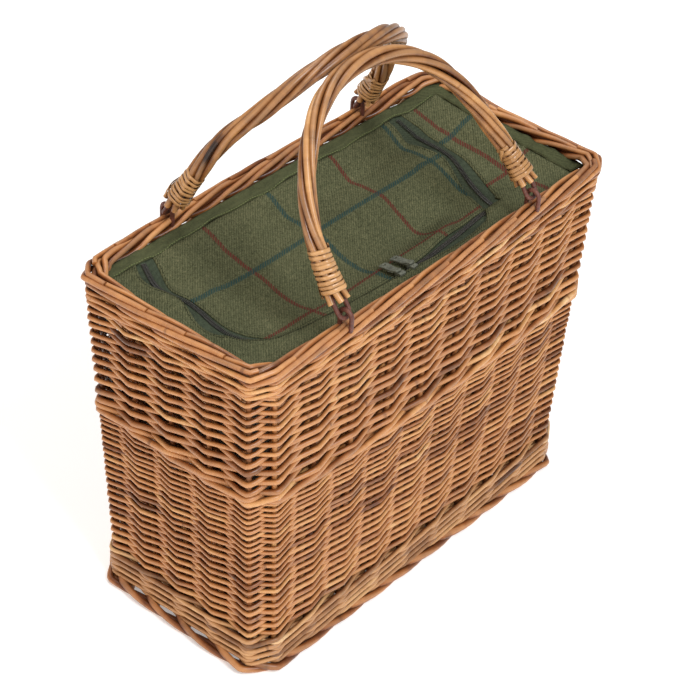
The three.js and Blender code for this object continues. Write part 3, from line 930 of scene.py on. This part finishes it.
def arch_points(handle, count):
    """Points along the arch at even steps, the direction across it at each, and its length.

    The arch stands a little askew along the basket, and its sides and crown are bent out of its plane."""
    start = math.asin((ARCH["foot"] / ARCH["height"]) ** (ARCH["power"] / 2))
    angle = np.linspace(start, math.pi - start, 2000)
    bend = 2 / ARCH["power"]
    across = np.cos(angle)
    x = -ARCH["half"] * np.sign(across) * np.abs(across) ** bend
    z = ARCH["height"] * np.sin(angle) ** bend
    travelled = np.concatenate([[0], np.cumsum(np.hypot(np.diff(x), np.diff(z)))])
    even = np.linspace(0, travelled[-1], count)
    x = np.interp(even, travelled, x)
    z = np.interp(even, travelled, z)
    x = x + handle["skew"] * ramped(z, ARCH["foot"], ARCH["askew_over"])
    y = handle["bow"] * np.exp(-((z - ARCH["bow_z"]) / ARCH["bow_over"]) ** 2)
    crown = ramped(z, ARCH["bow_z"], ARCH["bow_over"])
    y = y - handle["fall"] * crown * crown * (3 - 2 * crown)
    points = np.stack([x, y, z], -1)
    along = np.gradient(points, axis=0)
    along /= np.linalg.norm(along, axis=1)[:, None]
    sideways = np.stack([-along[:, 2], np.zeros(count), along[:, 0]], -1)
    return points, sideways, travelled[-1]


def round_arch(points, sideways, angle, radius):
    """Points on a tube round the arch, and their outward direction."""
    out = sideways * np.cos(angle)[:, None] + np.array([0, 1.0, 0]) * np.sin(angle)[:, None]
    return points + out * np.asarray(radius)[..., None], out


def grip_lines(handle):
    """Rods twisted round each other along the arch, a little open at both ends."""
    points, sideways, _ = arch_points(handle, GRIP["steps"])
    share = np.linspace(0, 1, GRIP["steps"])
    lines = []
    for rod in range(GRIP["rods"]):
        sway = GRIP["sway"] * np.sin(TURN * (share * GRIP["sways"] + chance.random()))
        angle = TURN * (handle["twist"] * share + rod / GRIP["rods"]) + sway
        ends = np.exp(-share / GRIP["end_length"]) + np.exp(-(1 - share) / GRIP["end_length"])
        swell = GRIP["swell"] * np.sin(TURN * (share * GRIP["swells"] + chance.random()))
        place, out = round_arch(points, sideways, angle, GRIP["ring"] + GRIP["splay"] * ends + swell)
        thick = GRIP["radius"] * (1 + GRIP["uneven"] * chance.standard_normal())
        tone = rod_tone(GRIP["by_rod"], GRIP["tone"])
        if rod == handle["bark"]:
            tone = BARK["tone"] - BARK["darker"] * np.exp(-((share - BARK["at"]) / BARK["spread"]) ** 2)
        thick = thick * (1 - GRIP["thinner_ends"] * ends)
        lines.append(Line(place, out, thick, tone + GRIP["paler_ends"] * ends))
    return lines


def binding_lines(handle, end):
    """A strip of cane wound round the grip's end, wider at the foot, and its tail across the turns."""
    count = BINDING["samples"]
    points, sideways, length = arch_points(handle, count)
    course = np.column_stack([points, sideways])
    bound = handle["bound"][end]
    lines = []
    for turns, steps, lift in (
        (bound / BINDING["pitch"], BINDING["wound_points"], 0.0),
        (BINDING["tail"], BINDING["tail_points"], BINDING["tail_lift"]),
    ):
        wound = np.linspace(0, 1, steps)
        uneven = wound + 0.012 * np.sin(TURN * 2.3 * wound) + 0.008 * np.sin(TURN * 5.1 * wound)
        share = (BINDING["from"] + bound * uneven - ARCH["foot"]) / length
        if end == "right":
            share = 1 - share
        index = share * (count - 1)
        found = np.stack([np.interp(index, np.arange(count), column) for column in course.T], -1)
        angle = TURN * (turns * wound + 0.1)
        rods = GRIP["rods"] * (angle - TURN * handle["twist"] * share)
        ring = BINDING["ring"] + lift + BINDING["flare"] * (1 - wound) ** 1.5
        ring = ring - BINDING["dip"] * 0.5 * (1 - np.cos(rods))
        place, out = round_arch(found[:, :3], found[:, 3:], angle, ring)
        waver = BINDING["uneven_width"] * np.sin(TURN * (3.7 * wound + chance.random()))
        tone = rod_tone(BINDING["by_strip"], BINDING["tone"])
        lines.append(Line(place, out, BINDING["half_width"] * (1 + waver), tone))
    return lines


def loop_line(low, high, sideways, x):
    """A closed loop of cord between two heights, with straight sides and round ends."""
    half = LOOP["half"]
    up = np.array([0, 0, 1.0])
    side = np.array(sideways, float)
    centres = []
    for middle, start in ((high - half, 0.0), (low + half, math.pi)):
        for angle in np.linspace(start, start + math.pi, 13):
            centres.append(up * middle + half * (side * math.cos(angle) + up * math.sin(angle)))
    centres = np.array(centres)
    gaps = np.linspace(0, 1, 7)[1:-1]
    half_way = len(centres) // 2
    first = [blend(centres[half_way - 1], centres[half_way], gap) for gap in gaps]
    second = [blend(centres[-1], centres[0], gap) for gap in gaps]
    route = np.concatenate([centres[:half_way], first, centres[half_way:], second])
    out = np.cross(side, up)
    return Line(route + np.array([x, 0, 0]), out, LOOP["radius"], 0.5, 0.0, True)


def build_handles():
    for name, handle in HANDLES.items():
        hinge = Vector((handle["shift"], handle["side"] * HINGE["y"], HINGE["z"]))
        turn = Matrix.Rotation(handle["side"] * math.radians(handle["lean"]), 4, "X")
        carry = Matrix.Translation(hinge) @ turn
        body = f"{name}_handle"
        rods = [line.moved(carry) for line in grip_lines(handle)]
        piece = lay(f"{name}_grip_rods", rods, HANDLE_WILLOW, Sides=14, Wander=0.001, Wander_Rate=14.0)
        settle(piece, body, "willow", f"{name}_grip")
        for end, side in ENDS.items():
            lines = [line.moved(carry) for line in binding_lines(handle, end)]
            piece = lay(f"{name}_{end}_cane_binding", lines, CANE, Sides=8, Flatness=BINDING["flat"])
            settle(piece, body, "cane", f"{name}_{end}_binding")
            line = loop_line(0, LOOP["reach_in_grip"], (1, 0, 0), side * ARCH["half"]).moved(carry)
            piece = lay(f"{name}_{end}_handle_cord", [line], LEATHER, Sides=10, Wander=0.0006)
            settle(piece, body, "leather_cord", f"{name}_{end}_handle_loop")
            line = loop_line(-LOOP["depth"], LOOP["rise"], (0, 1, 0), side * ARCH["half"])
            line = line.moved(Matrix.Translation(hinge))
            piece = lay(f"{name}_{end}_rim_cord", [line], LEATHER, Sides=10, Wander=0.0006)
            settle(piece, "basket", "leather_cord", f"{name}_{end}_rim_loop")


# Tweed top

TOP = {
    "front_z": 322, "back_z": 340, "sag": 16, "reach_x": 190, "power_x": 4, "middle_y": -5, "reach_y": 66,
    "power_y": 2.5,
}
BAG_OUTER = 17.3
BAG_INNER = 21.3
HEM = {
    "back": 8.0, "right": 6.5, "over": 4.6, "wave": 0.9, "cut": (12, 8), "step": 2.6, "thickness": 2.0,
    "crown": 1.5, "crown_over": 4, "lift": 0.5, "seam_in": 0.9,
}
TAPE_HALF = 13
TAPE = {"points": 220, "columns": 15, "below": 0.9, "ridge": 3.2, "thickness": 0.9}
TOOTH = {"pitch": 1.6, "size": (1.05, 3.0, 1.9), "lift": 0.2}
TEETH = {"above": 0.9, "apart": 1.15, "left_out": 4}
HEM_STITCH = {"pitch": 2.9, "size": (2.7, 1.1, 0.9), "lift": 0.1, "skew": 0.08}
ZIP_STITCH = {"pitch": 2.8, "size": (2.3, 0.7, 0.5), "lift": 0.05, "skew": 0.06}
UP = (0, 0, 1)
# The zip's plan from the back left: x, y, and how far the surround and the lid lie over its tape
ZIP = np.array([
    (-173, 88, 5, 0), (-177, 77, 5, 0), (-183, 64, 3, 0), (-188, 50, 8, 1), (-187, 38, 12, 4),
    (-181, 25, 8, 6), (-181, 8, 1, 6), (-184, -12, 0, 4), (-183, -28, 5, 2), (-171, -46, 13, 3),
    (-146, -60, 17, 5), (-70, -69, 16, 5), (0, -71, 11, 5), (51, -66, 3, 4), (85, -61, 0, 5),
    (104, -58.5, 11, 7), (115, -60, 20, 6), (121.5, -58.5, 18, 4), (127.5, -47, 1, 4), (136.5, -28, 0, 4),
    (145, -7, 0, 4), (152, 17, 0, 4), (150, 46, 0, 4), (147, 88, 0, 4),
], float)
ZIP_PLAN = ZIP[:, :2]
OVER_SURROUND = 2
OVER_LID = 3
# Edge of the cloth where it lies across the zip's right front corner, between two of the zip's places
CORNER_FLAP = np.array([(76, -73), (98, -69.5), (107, -63), (111, -57.5), (122, -58.5), (133, -59.5)], float)
CORNER_FLAP_FROM = 14
CORNER_FLAP_TO = 18
TOP_HALF_X, TOP_HALF_Y = (half - BAG_OUTER for half in wall_half(TOP["front_z"]))
HEM_X = TOP_HALF_X - HEM["right"]
HEM_Y = TOP_HALF_Y - HEM["back"]


def top_z(x, y):
    """Height of the cloth top as in the part's source."""
    slope = blend(TOP["front_z"], TOP["back_z"], (y + TOP_HALF_Y) / (2 * TOP_HALF_Y))
    sag_x = np.maximum(0, 1 - (np.abs(x) / TOP["reach_x"]) ** TOP["power_x"])
    sag_y = np.maximum(0, 1 - (np.abs(y - TOP["middle_y"]) / TOP["reach_y"]) ** TOP["power_y"])
    return slope - TOP["sag"] * sag_x * sag_y


def ridge(x, y, middle, along, length, width, height):
    """A soft fold: a ridge of a length and width at a place, lying in a direction."""
    direction = np.array(along, float) / np.hypot(*along)
    forward = (x - middle[0]) * direction[0] + (y - middle[1]) * direction[1]
    aside = (y - middle[1]) * direction[0] - (x - middle[0]) * direction[1]
    return height * np.exp(-(forward / length) ** 2 - (aside / width) ** 2)


# Folds of the cloth: middle, direction, length, width and height of each
LID_FOLDS = [
    ((60, 59), (1, 0), 190, 13, -11.0),
    ((30, 16), (1, 0.03), 150, 17, 8.5),
    ((80, -22), (1, 0.1), 66, 13, -7.0),
    ((25, -50), (1, 0), 75, 10, 4.5),
    ((72, -44), (1, 0.45), 30, 8, 3.0),
    ((98, -36), (1, 0.8), 30, 8, -2.5),
    ((-120, -40), (1, -0.6), 40, 14, 3.0),
    ((-150, 20), (0.2, 1), 34, 9, 2.2),
    ((118, 30), (-0.15, 1), 40, 10, 2.4),
]
SURROUND_FOLDS = [
    ((174, 48), (0.1, 1), 40, 20, -7.0),
    ((178, -38), (0.1, 1), 26, 18, -5.0),
    ((132, -60), (1, 0.3), 22, 14, 4.0),
    ((-195, 28), (0.3, -1), 22, 7, 4.0),
    ((-192, -42), (0.3, 1), 20, 6, 3.0),
    ((185, -30), (0.2, 1), 40, 7, 2.5),
    ((172, 40), (1, 0.4), 22, 7, 2.0),
    ((60, -80), (1, 0), 60, 5, 1.5),
]


def folded(x, y, folds):
    return sum(ridge(x, y, *fold) for fold in folds)


FINE_STEPS = 40


def smooth_line(points, count):
    """Even points on a curve through the given ones, its length, and where along it those lie."""
    ends = np.concatenate([[2 * points[0] - points[1]], points, [2 * points[-1] - points[-2]]])
    t = np.linspace(0, 1, FINE_STEPS, endpoint=False)[:, None]
    fine = []
    for k in range(len(points) - 1):
        a, b, c, d = ends[k:k + 4]
        fine.append(0.5 * (2 * b + (c - a) * t + (2 * a - 5 * b + 4 * c - d) * t ** 2
                           + (3 * b - a - 3 * c + d) * t ** 3))
    fine = np.concatenate(fine + [points[-1:]])
    run = run_along(fine)
    even = np.linspace(0, run[-1], count)
    line = np.stack([np.interp(even, run, fine[:, k]) for k in range(2)], -1)
    return line, run[-1], run[::FINE_STEPS] / run[-1]


def aside(line):
    """Direction to the right of a plan line at each of its points."""
    along = np.gradient(line, axis=0)
    along /= np.linalg.norm(along, axis=1)[:, None]
    return np.stack([along[:, 1], -along[:, 0]], -1)


def zip_line(count, out=0.0):
    """The zip's line in plan, moved outwards from the lid by a distance, and its length."""
    line, length, _ = smooth_line(ZIP_PLAN, count)
    return line + aside(line) * np.asarray(out)[..., None], length


def inside(points, outline):
    """Which points lie inside a plan outline."""
    x, y = points[:, 0], points[:, 1]
    hit = np.zeros(len(points), bool)
    for (ax, ay), (bx, by) in zip(outline, np.roll(outline, -1, axis=0)):
        crosses = (ay > y) != (by > y)
        where = (bx - ax) * (y - ay) / (by - ay if by != ay else 1e-9) + ax
        hit ^= crosses & (x < where)
    return hit


def dense(outline, step):
    """A closed outline with a point at every step."""
    points = []
    for a, b in zip(outline, np.roll(outline, -1, axis=0)):
        count = max(1, int(np.hypot(*(b - a)) / step))
        points.append(blend(a, b, np.linspace(0, 1, count, endpoint=False)[:, None]))
    return np.concatenate(points)


def cut_cloth(name, outline, step, height, holes=()):
    """A sheet cut to a plan outline and laid at a height that depends on the place, and its area."""
    loops = [dense(np.asarray(loop, float), step) for loop in (outline, *holes)]

    def within(spots):
        hit = inside(spots, loops[0])
        for hole in loops[1:]:
            hit &= ~inside(spots, hole)
        return hit

    brink = np.concatenate(loops)
    edges = []
    start = 0
    for loop in loops:
        edges += [(start + k, start + (k + 1) % len(loop)) for k in range(len(loop))]
        start += len(loop)
    low = brink.min(0)
    high = brink.max(0)
    xs = np.arange(low[0] + step / 2, high[0], step)
    ys = np.arange(low[1] + step / 2, high[1], step)
    grid = np.stack(np.meshgrid(xs, ys), -1).reshape(-1, 2)
    grid = grid[within(grid)]
    gaps = np.full(len(grid), np.inf)
    for spot in brink:
        gaps = np.minimum(gaps, np.hypot(*(grid - spot).T))
    flat = np.concatenate([brink, grid[gaps > 0.55 * step]])
    points, _, faces, *_ = delaunay_2d_cdt([Vector(p) for p in flat], edges, [], 0, 1e-6)
    points = np.array([tuple(p) for p in points])
    centres = np.array([points[list(face)].mean(0) for face in faces])
    faces = [face for face, kept in zip(faces, within(centres)) if kept]
    faces = [face if turns_left(points[list(face)]) else face[::-1] for face in faces]
    placed = np.column_stack([points, height(points[:, 0], points[:, 1])]) * MM
    mesh = bpy.data.meshes.new(name)
    mesh.from_pydata([tuple(p) for p in placed], [], [list(face) for face in faces])
    mesh.shade_smooth()
    corners = placed[np.array(faces)]
    spans = np.cross(corners[:, 1] - corners[:, 0], corners[:, 2] - corners[:, 0])
    area = 0.5 * np.linalg.norm(spans, axis=1).sum()
    return link(name, mesh), float(area)


def turns_left(corners):
    a, b, c = corners[:3]
    return (b[0] - a[0]) * (c[1] - a[1]) - (b[1] - a[1]) * (c[0] - a[0]) > 0


def thicken(piece, thickness, material):
    """Gives a sheet its thickness, downwards from its face."""
    piece.data.materials.append(material)
    solid = piece.modifiers.new("thickness", "SOLIDIFY")
    solid.thickness = thickness * MM
    solid.offset = -1.0


def tape_strip(name, line):
    """The zip's tape along a plan line, between the lid and the cloth round it, raised under the teeth."""
    columns = TAPE["columns"]
    across = np.linspace(-TAPE_HALF, TAPE_HALF, columns)
    plan = line[:, None] + aside(line)[:, None] * across[None, :, None]
    share = (across / TAPE_HALF + 1) / 2
    ridge = np.exp(-(across / TAPE["ridge"]) ** 2)
    z = seam_height(plan[..., 0], plan[..., 1], share) - TAPE["below"] + ridge[None]
    points = np.concatenate([plan, z[..., None]], -1).reshape(-1, 3) * MM
    faces = []
    for k in range(len(line) - 1):
        for j in range(columns - 1):
            a = k * columns + j
            faces.append((a, a + columns, a + columns + 1, a + 1)[::-1])
    mesh = bpy.data.meshes.new(name)
    mesh.from_pydata([tuple(p) for p in points], [], faces)
    mesh.shade_smooth()
    return link(name, mesh)


ZIP_SHARES = smooth_line(ZIP_PLAN, 2)[2]
ZIP_POINTS = 150
FLAP = {"lift": 2.6, "full_cover": 11, "reach": 11}


def cover(share, kind):
    """How far a cloth lies over the zip's tape at a share along it, eased between the given places."""
    shifts = (-0.012, -0.006, 0, 0.006, 0.012)
    return sum(np.interp(share + shift, ZIP_SHARES, ZIP[:, kind]) for shift in shifts) / len(shifts)


def flap(x, y):
    """Rise of the cloth where it lies over the zip."""
    line, _ = zip_line(ZIP_POINTS)
    plan = np.stack(np.broadcast_arrays(x, y), -1)
    gaps = np.linalg.norm(plan[..., None, :] - line, axis=-1)
    covered = np.clip(cover(gaps.argmin(-1) / (ZIP_POINTS - 1), OVER_SURROUND) / FLAP["full_cover"], 0, 1)
    return FLAP["lift"] * covered * np.exp(-(gaps.min(-1) / FLAP["reach"]) ** 2)


END_RISE = {"from": 170, "y": [-80, 0, 59, 90], "rise": [11, 5, 4, 5]}


def end_rise(x, y):
    """Rise of the cloth towards the right end of the rim."""
    share = ramped(x, END_RISE["from"], TOP_HALF_X + HEM["over"] - END_RISE["from"])
    return np.interp(y, END_RISE["y"], END_RISE["rise"]) * share ** 2


TWEED = {"lift": 0.4, "thickness": 1.6, "step": 4.0}


def lid_height(x, y):
    return top_z(x, y) + folded(x, y, LID_FOLDS) + TWEED["lift"]


def surround_height(x, y):
    return top_z(x, y) + folded(x, y, SURROUND_FOLDS) + flap(x, y) + end_rise(x, y) + TWEED["lift"]


def seam_height(x, y, share=0.5):
    """Height of the zip between the lid, at share 0, and the cloth round it, at share 1."""
    return top_z(x, y) + blend(folded(x, y, LID_FOLDS), folded(x, y, SURROUND_FOLDS), share)


def hem_edge(x):
    """The wavy inner edge of the hem along the back."""
    return HEM_Y + HEM["wave"] * (np.sin(x / 19) + 0.6 * np.sin(x / 7.3 + 1))


def hem_height(x, y):
    """Height of the hem: the cloth below it, a rounded edge and fine puckers that are larger at the end."""
    along_back = 0.25 * np.sin(x / 5.3 + 2 * np.sin(x / 31)) + 0.2 * np.sin(x / 2.9 + 3 * np.sin(x / 23))
    along_end = 0.9 * np.sin(y / 4.1 + (x - HEM_X) / 6 + 2 * np.sin(y / 17)) + 0.5 * np.sin(y / 2.3 + x / 5)
    pucker = along_back + along_end * ramped(x, HEM_X - 6, 6)
    inner = np.minimum(np.where(x > HEM_X, 99, y - HEM_Y), np.where(y > HEM_Y, 99, x - HEM_X))
    inner = np.where((x > HEM_X) & (y > HEM_Y), np.minimum(y - HEM_Y, x - HEM_X) + 6, inner)
    crown = HEM["crown"] * np.sqrt(ramped(inner, -1, HEM["crown_over"]))
    cloth = blend(folded(x, y, LID_FOLDS), folded(x, y, SURROUND_FOLDS), ramped(x, 137, 20))
    return top_z(np.minimum(x, HEM_X + 2), y) + cloth + crown + end_rise(x, y) + pucker + HEM["lift"]


def beside_flap(line, share):
    """The parts of a line along the zip before and after the cloth that lies across its corner."""
    return line[share < ZIP_SHARES[CORNER_FLAP_FROM]], line[share > ZIP_SHARES[CORNER_FLAP_TO]]


def build_top():
    """Lid, the cloth round it, the hem and the zip; their edges lie over each other by the overlap."""
    overlap = 1.5
    share = np.linspace(0, 1, ZIP_POINTS)
    inner, _ = zip_line(ZIP_POINTS, cover(share, OVER_LID) - (TAPE_HALF - overlap))
    back = HEM_Y + overlap
    inner = inner[inner[:, 1] < back]
    lid_outline = np.concatenate([[(inner[0, 0], back)], inner, [(inner[-1, 0], back)]])
    lid, lid_area = cut_cloth("lid_tweed_panel", lid_outline, TWEED["step"], lid_height)
    thicken(lid, TWEED["thickness"], LID_TWEED)
    settle(lid, "basket", "tweed", "lid_panel")

    outer, _ = zip_line(ZIP_POINTS, TAPE_HALF - overlap - cover(share, OVER_SURROUND))
    before, after = beside_flap(outer[2:-2], share[2:-2])
    xs, ys = plan_corners(np.array(TOP_HALF_X), np.array(TOP_HALF_Y))
    right = HEM_X + overlap
    cut_y = ys[1] + (right - xs[1]) / CORNER[0] * CORNER[1]
    surround_outline = np.concatenate([
        [(xs[7], back), (xs[7], ys[7]), (xs[0], ys[0]), (xs[1], ys[1]), (right, cut_y), (right, back)],
        [(after[-1, 0], back)], after[after[:, 1] < back][::-1], CORNER_FLAP[::-1],
        before[before[:, 1] < back][::-1], [(before[0, 0], back)],
    ])
    surround, surround_area = cut_cloth(
        "top_surround_tweed", surround_outline, TWEED["step"], surround_height)
    thicken(surround, TWEED["thickness"], SURROUND_TWEED)
    settle(surround, "basket", "tweed", "top_surround")

    over = HEM["over"]
    xs, ys = plan_corners(np.array(TOP_HALF_X + over), np.array(TOP_HALF_Y + over), HEM["cut"])
    edge_x = np.linspace(xs[7] + 3, HEM_X, 90)
    hem_outline = np.concatenate([np.column_stack([edge_x, hem_edge(edge_x)]), [
        (HEM_X, cut_y), (xs[2], ys[2]), (xs[3], ys[3]), (xs[4], ys[4]), (xs[5], ys[5]), (xs[6] + 2, ys[6]),
    ]])
    hem, hem_area = cut_cloth("top_hem_band", hem_outline, HEM["step"], hem_height)
    thicken(hem, HEM["thickness"], HEM_CLOTH)
    settle(hem, "basket", "hem_cloth", "top_hem")

    line, length = zip_line(TAPE["points"])
    tape = tape_strip("zip_tape_cloth", line)
    thicken(tape, TAPE["thickness"], TAPE_CLOTH)
    settle(tape, "basket", "zip_cloth", "zip_tape")

    coil_line = line[TEETH["left_out"]:-TEETH["left_out"]]
    coil_z = seam_height(coil_line[:, 0], coil_line[:, 1]) + TEETH["above"]
    coil_points = np.column_stack([coil_line, coil_z])
    for name, side, nodes in (("zip_teeth_outer", 1, ["zip_coil"]), ("zip_teeth_inner", -1, [])):
        coil = [Line(coil_points, UP, 1.0)]
        teeth = set_row(name, coil, COIL, aside=side * TEETH["apart"], **TOOTH)
        settle(teeth, "basket", "zip_coil", *nodes)

    build_stitches()
    length * MM


def build_stitches():
    """The hem's seam along the back, and the seams on both sides of the zip. The hem's pale thread on its
    edge is stitching and also a painted highlight of the folded edge; the zip seams' dark thread is
    stitching and also painted shadow along the cloth edges.
    """
    x = np.linspace(-TOP_HALF_X + 6, HEM_X - 1, 240)
    # The seam runs on the hem's edge, where its pale thread also paints the edge's highlight
    y = hem_edge(x) + HEM["seam_in"]
    seam = Line(np.column_stack([x, y, hem_height(x, y)]), UP, 0.4)
    seam = set_row("hem_stitches", [seam], THREAD, **HEM_STITCH)
    settle(seam, "basket", "hem_cloth")
    lines = []
    share = np.linspace(0, 1, 2 * ZIP_POINTS)
    from_zip = TAPE_HALF + 0.7
    along_lid, _ = zip_line(len(share), cover(share, OVER_LID) - from_zip)
    beside, _ = zip_line(len(share), from_zip - cover(share, OVER_SURROUND))
    before, after = beside_flap(beside, share)
    for plan, height in ((along_lid, lid_height), (before, surround_height), (after, surround_height)):
        plan = plan[plan[:, 1] < HEM_Y - 1]
        lines.append(Line(np.column_stack([plan, height(plan[:, 0], plan[:, 1])]), UP, 0.4))
    seam = set_row("zip_stitches", lines, ZIP_THREAD, **ZIP_STITCH)
    settle(seam, "basket", "zip_cloth")


# Zip pulls

PULLS = {
    "zip_pull_left": {"x": -18.5, "y": -58, "turn": -0.14},
    "zip_pull_right": {"x": -3.5, "y": -58.5, "turn": 0.03},
}
PULL = {
    "width": 8, "length": 22, "corner": 1.6, "narrow": 0.82, "thickness": 1.6, "hole": 1.6, "hole_y": 7.4,
    "lift": 2.6, "slope": 0.12, "slope_from": -43, "step": 1.6,
}
SLIDER = {
    "half_x": 3.4, "half_y": 4.4, "corner": 1.4, "before": 11.5, "lift": 5.0, "thickness": 4.2, "step": 2.0,
}


def rounded_outline(half_x, half_y, corner, steps=6):
    points = []
    for x, y, start in ((1, -1, -0.25), (1, 1, 0.0), (-1, 1, 0.25), (-1, -1, 0.5)):
        for angle in TURN * (start + np.linspace(0, 0.25, steps)):
            points.append((x * (half_x - corner) + corner * math.cos(angle),
                           y * (half_y - corner) + corner * math.sin(angle)))
    return np.array(points)


def turned(points, turn, x, y):
    c, s = math.cos(turn), math.sin(turn)
    return points @ np.array([[c, s], [-s, c]]) + np.array([x, y])


def bevel(piece, width, segments):
    edge = piece.modifiers.new("edge", "BEVEL")
    edge.width = width * MM
    edge.segments = segments


def pull_height(x, y):
    """Upper face of a pull that lies on the lid and rises towards the zip."""
    rise = PULL["lift"] + PULL["thickness"] + PULL["slope"] * (PULL["slope_from"] - y)
    return lid_height(x, y) + rise


def slider_height(x, y):
    return seam_height(x, y) + SLIDER["lift"]


def build_pulls():
    for name, pull in PULLS.items():
        outline = rounded_outline(PULL["width"] / 2, PULL["length"] / 2, PULL["corner"])
        outline[:, 0] *= np.where(outline[:, 1] < 0, PULL["narrow"], 1.0)
        ring = TURN * np.linspace(0, 1, 14, endpoint=False)
        hole = np.stack([PULL["hole"] * np.cos(ring), PULL["hole_y"] + PULL["hole"] * np.sin(ring)], -1)
        outline = turned(outline, pull["turn"], pull["x"], pull["y"])
        hole = turned(hole, pull["turn"], pull["x"], pull["y"])
        piece, _ = cut_cloth(f"{name}_tab", outline, PULL["step"], pull_height, [hole])
        thicken(piece, PULL["thickness"], GUNMETAL)
        bevel(piece, 0.35, 2)
        settle(piece, "basket", "zip_metal", name)
        outline = rounded_outline(SLIDER["half_x"], SLIDER["half_y"], SLIDER["corner"])
        outline = turned(outline, pull["turn"], pull["x"], pull["y"] - SLIDER["before"])
        slider, _ = cut_cloth(f"{name}_slider", outline, SLIDER["step"], slider_height)
        thicken(slider, SLIDER["thickness"], GUNMETAL)
        bevel(slider, 0.7, 3)
        settle(slider, "basket", "zip_metal")


# Cooler bag

BAG = {
    "floor_z": 24.3, "top_z": 322.0, "under_top": 2.6, "thickness": 4.0, "billow": 0.7, "levels": 16,
    "around": 120,
}


def bag_ring(inset, z, grow=0.0):
    u = np.linspace(0, STAKE_COUNT, BAG["around"], endpoint=False)
    place = lambda v: wall_points(v, z, -inset)
    points = eased(place, u)
    billow = grow * np.sin(TURN * u * 0.5) * np.sin(math.pi * (z - BAG["floor_z"]) / 300)
    return points + outward(place, u) * billow[:, None]


def build_bag():
    """A hollow padded bag: outside wall, rolled top edge, inside wall and floor."""
    rings = []
    outer = bag_ring(BAG_OUTER, BAG["top_z"])
    rim = top_z(outer[:, 0], outer[:, 1]) - BAG["under_top"]
    levels = np.linspace(0, 1, BAG["levels"])
    for inset, order, floor in ((BAG_OUTER, levels, BAG["floor_z"]),
                                (BAG_INNER, levels[::-1], BAG["floor_z"] + BAG["thickness"])):
        for level in order:
            ring = bag_ring(inset, blend(floor, BAG["top_z"], level), BAG["billow"])
            ring[:, 2] = blend(np.full(len(ring), floor), rim, level)
            rings.append(ring)
    count = BAG["around"]
    points = np.concatenate(rings) * MM
    faces = []
    for low in range(0, (len(rings) - 1) * count, count):
        high = low + count
        for j in range(count):
            following = (j + 1) % count
            faces.append((low + j, low + following, high + following, high + j))
    last = (len(rings) - 1) * count
    faces.append(tuple(range(count))[::-1])
    faces.append(tuple(range(last, last + count)))
    mesh = bpy.data.meshes.new("bag_shell")
    mesh.from_pydata([tuple(p) for p in points], [], faces)
    mesh.shade_smooth()
    mesh.materials.append(BAG_CLOTH)
    piece = link("bag_shell", mesh)
    settle(piece, "basket", "bag_cloth", "bag_wall", "bag_floor")


# Camera, floor and light

CAMERA = {
    "eye": (-1232.83, -1021.80, 1441.48), "azimuth": -0.8809, "elevation": 0.6613, "roll": 0.0602,
    "lens": 115.61,
}
# Place in metres, width, power and colour of each lamp
LAMPS = {
    "key": ((-0.5, -2.4, 2.9), 1.3, 88, (0.91, 0.96, 1)),
    "fill": ((-2.6, -0.5, 1.25), 1.3, 19, (1, 0.79, 0.58)),
    "top": ((0.3, 0.8, 3.2), 1.6, 36, (1, 1, 1)),
}
FLOOR_HALF = 9.0


def build_studio():
    azimuth, elevation = CAMERA["azimuth"], CAMERA["elevation"]
    back = Vector((math.sin(azimuth) * math.cos(elevation), -math.cos(azimuth) * math.cos(elevation),
                   math.sin(elevation)))
    level_right = Vector((0, 0, 1)).cross(back).normalized()
    level_up = back.cross(level_right)
    c, s = math.cos(CAMERA["roll"]), math.sin(CAMERA["roll"])
    right = level_right * c + level_up * s
    up = level_up * c - level_right * s
    data = bpy.data.cameras.new("camera")
    data.lens = CAMERA["lens"]
    data.clip_start = 0.05
    data.clip_end = 60
    camera = link("camera", data)
    turn = Matrix((right, up, back)).transposed().to_4x4()
    camera.matrix_world = Matrix.Translation(Vector(CAMERA["eye"]) * MM) @ turn
    bpy.context.scene.camera = camera

    mesh = bpy.data.meshes.new("floor")
    corners = [(x * FLOOR_HALF, y * FLOOR_HALF, 0) for x, y in ((-1, -1), (1, -1), (1, 1), (-1, 1))]
    mesh.from_pydata(corners, [], [(0, 1, 2, 3)])
    mesh.materials.append(floor_finish("pale_floor"))
    link("floor", mesh)

    world = bpy.data.worlds.new("studio")
    world.use_nodes = True
    background = world.node_tree.nodes["Background"].inputs
    background["Color"].default_value = (1, 1, 1, 1)
    background["Strength"].default_value = 0.38
    bpy.context.scene.world = world
    for name, (place, width, power, colour) in LAMPS.items():
        light = bpy.data.lights.new(name, "AREA")
        light.size = width
        light.energy = power
        light.color = colour
        lamp = link(name, light)
        aim = Vector((0, 0, 0.2)) - Vector(place)
        lamp.matrix_world = Matrix.Translation(place) @ aim.to_track_quat("-Z", "Y").to_matrix().to_4x4()
    bpy.context.scene.view_settings.view_transform = "Standard"


build_studio()
build_walls()
build_borders()
build_base()
build_handles()
build_bag()
build_top()
build_pulls()
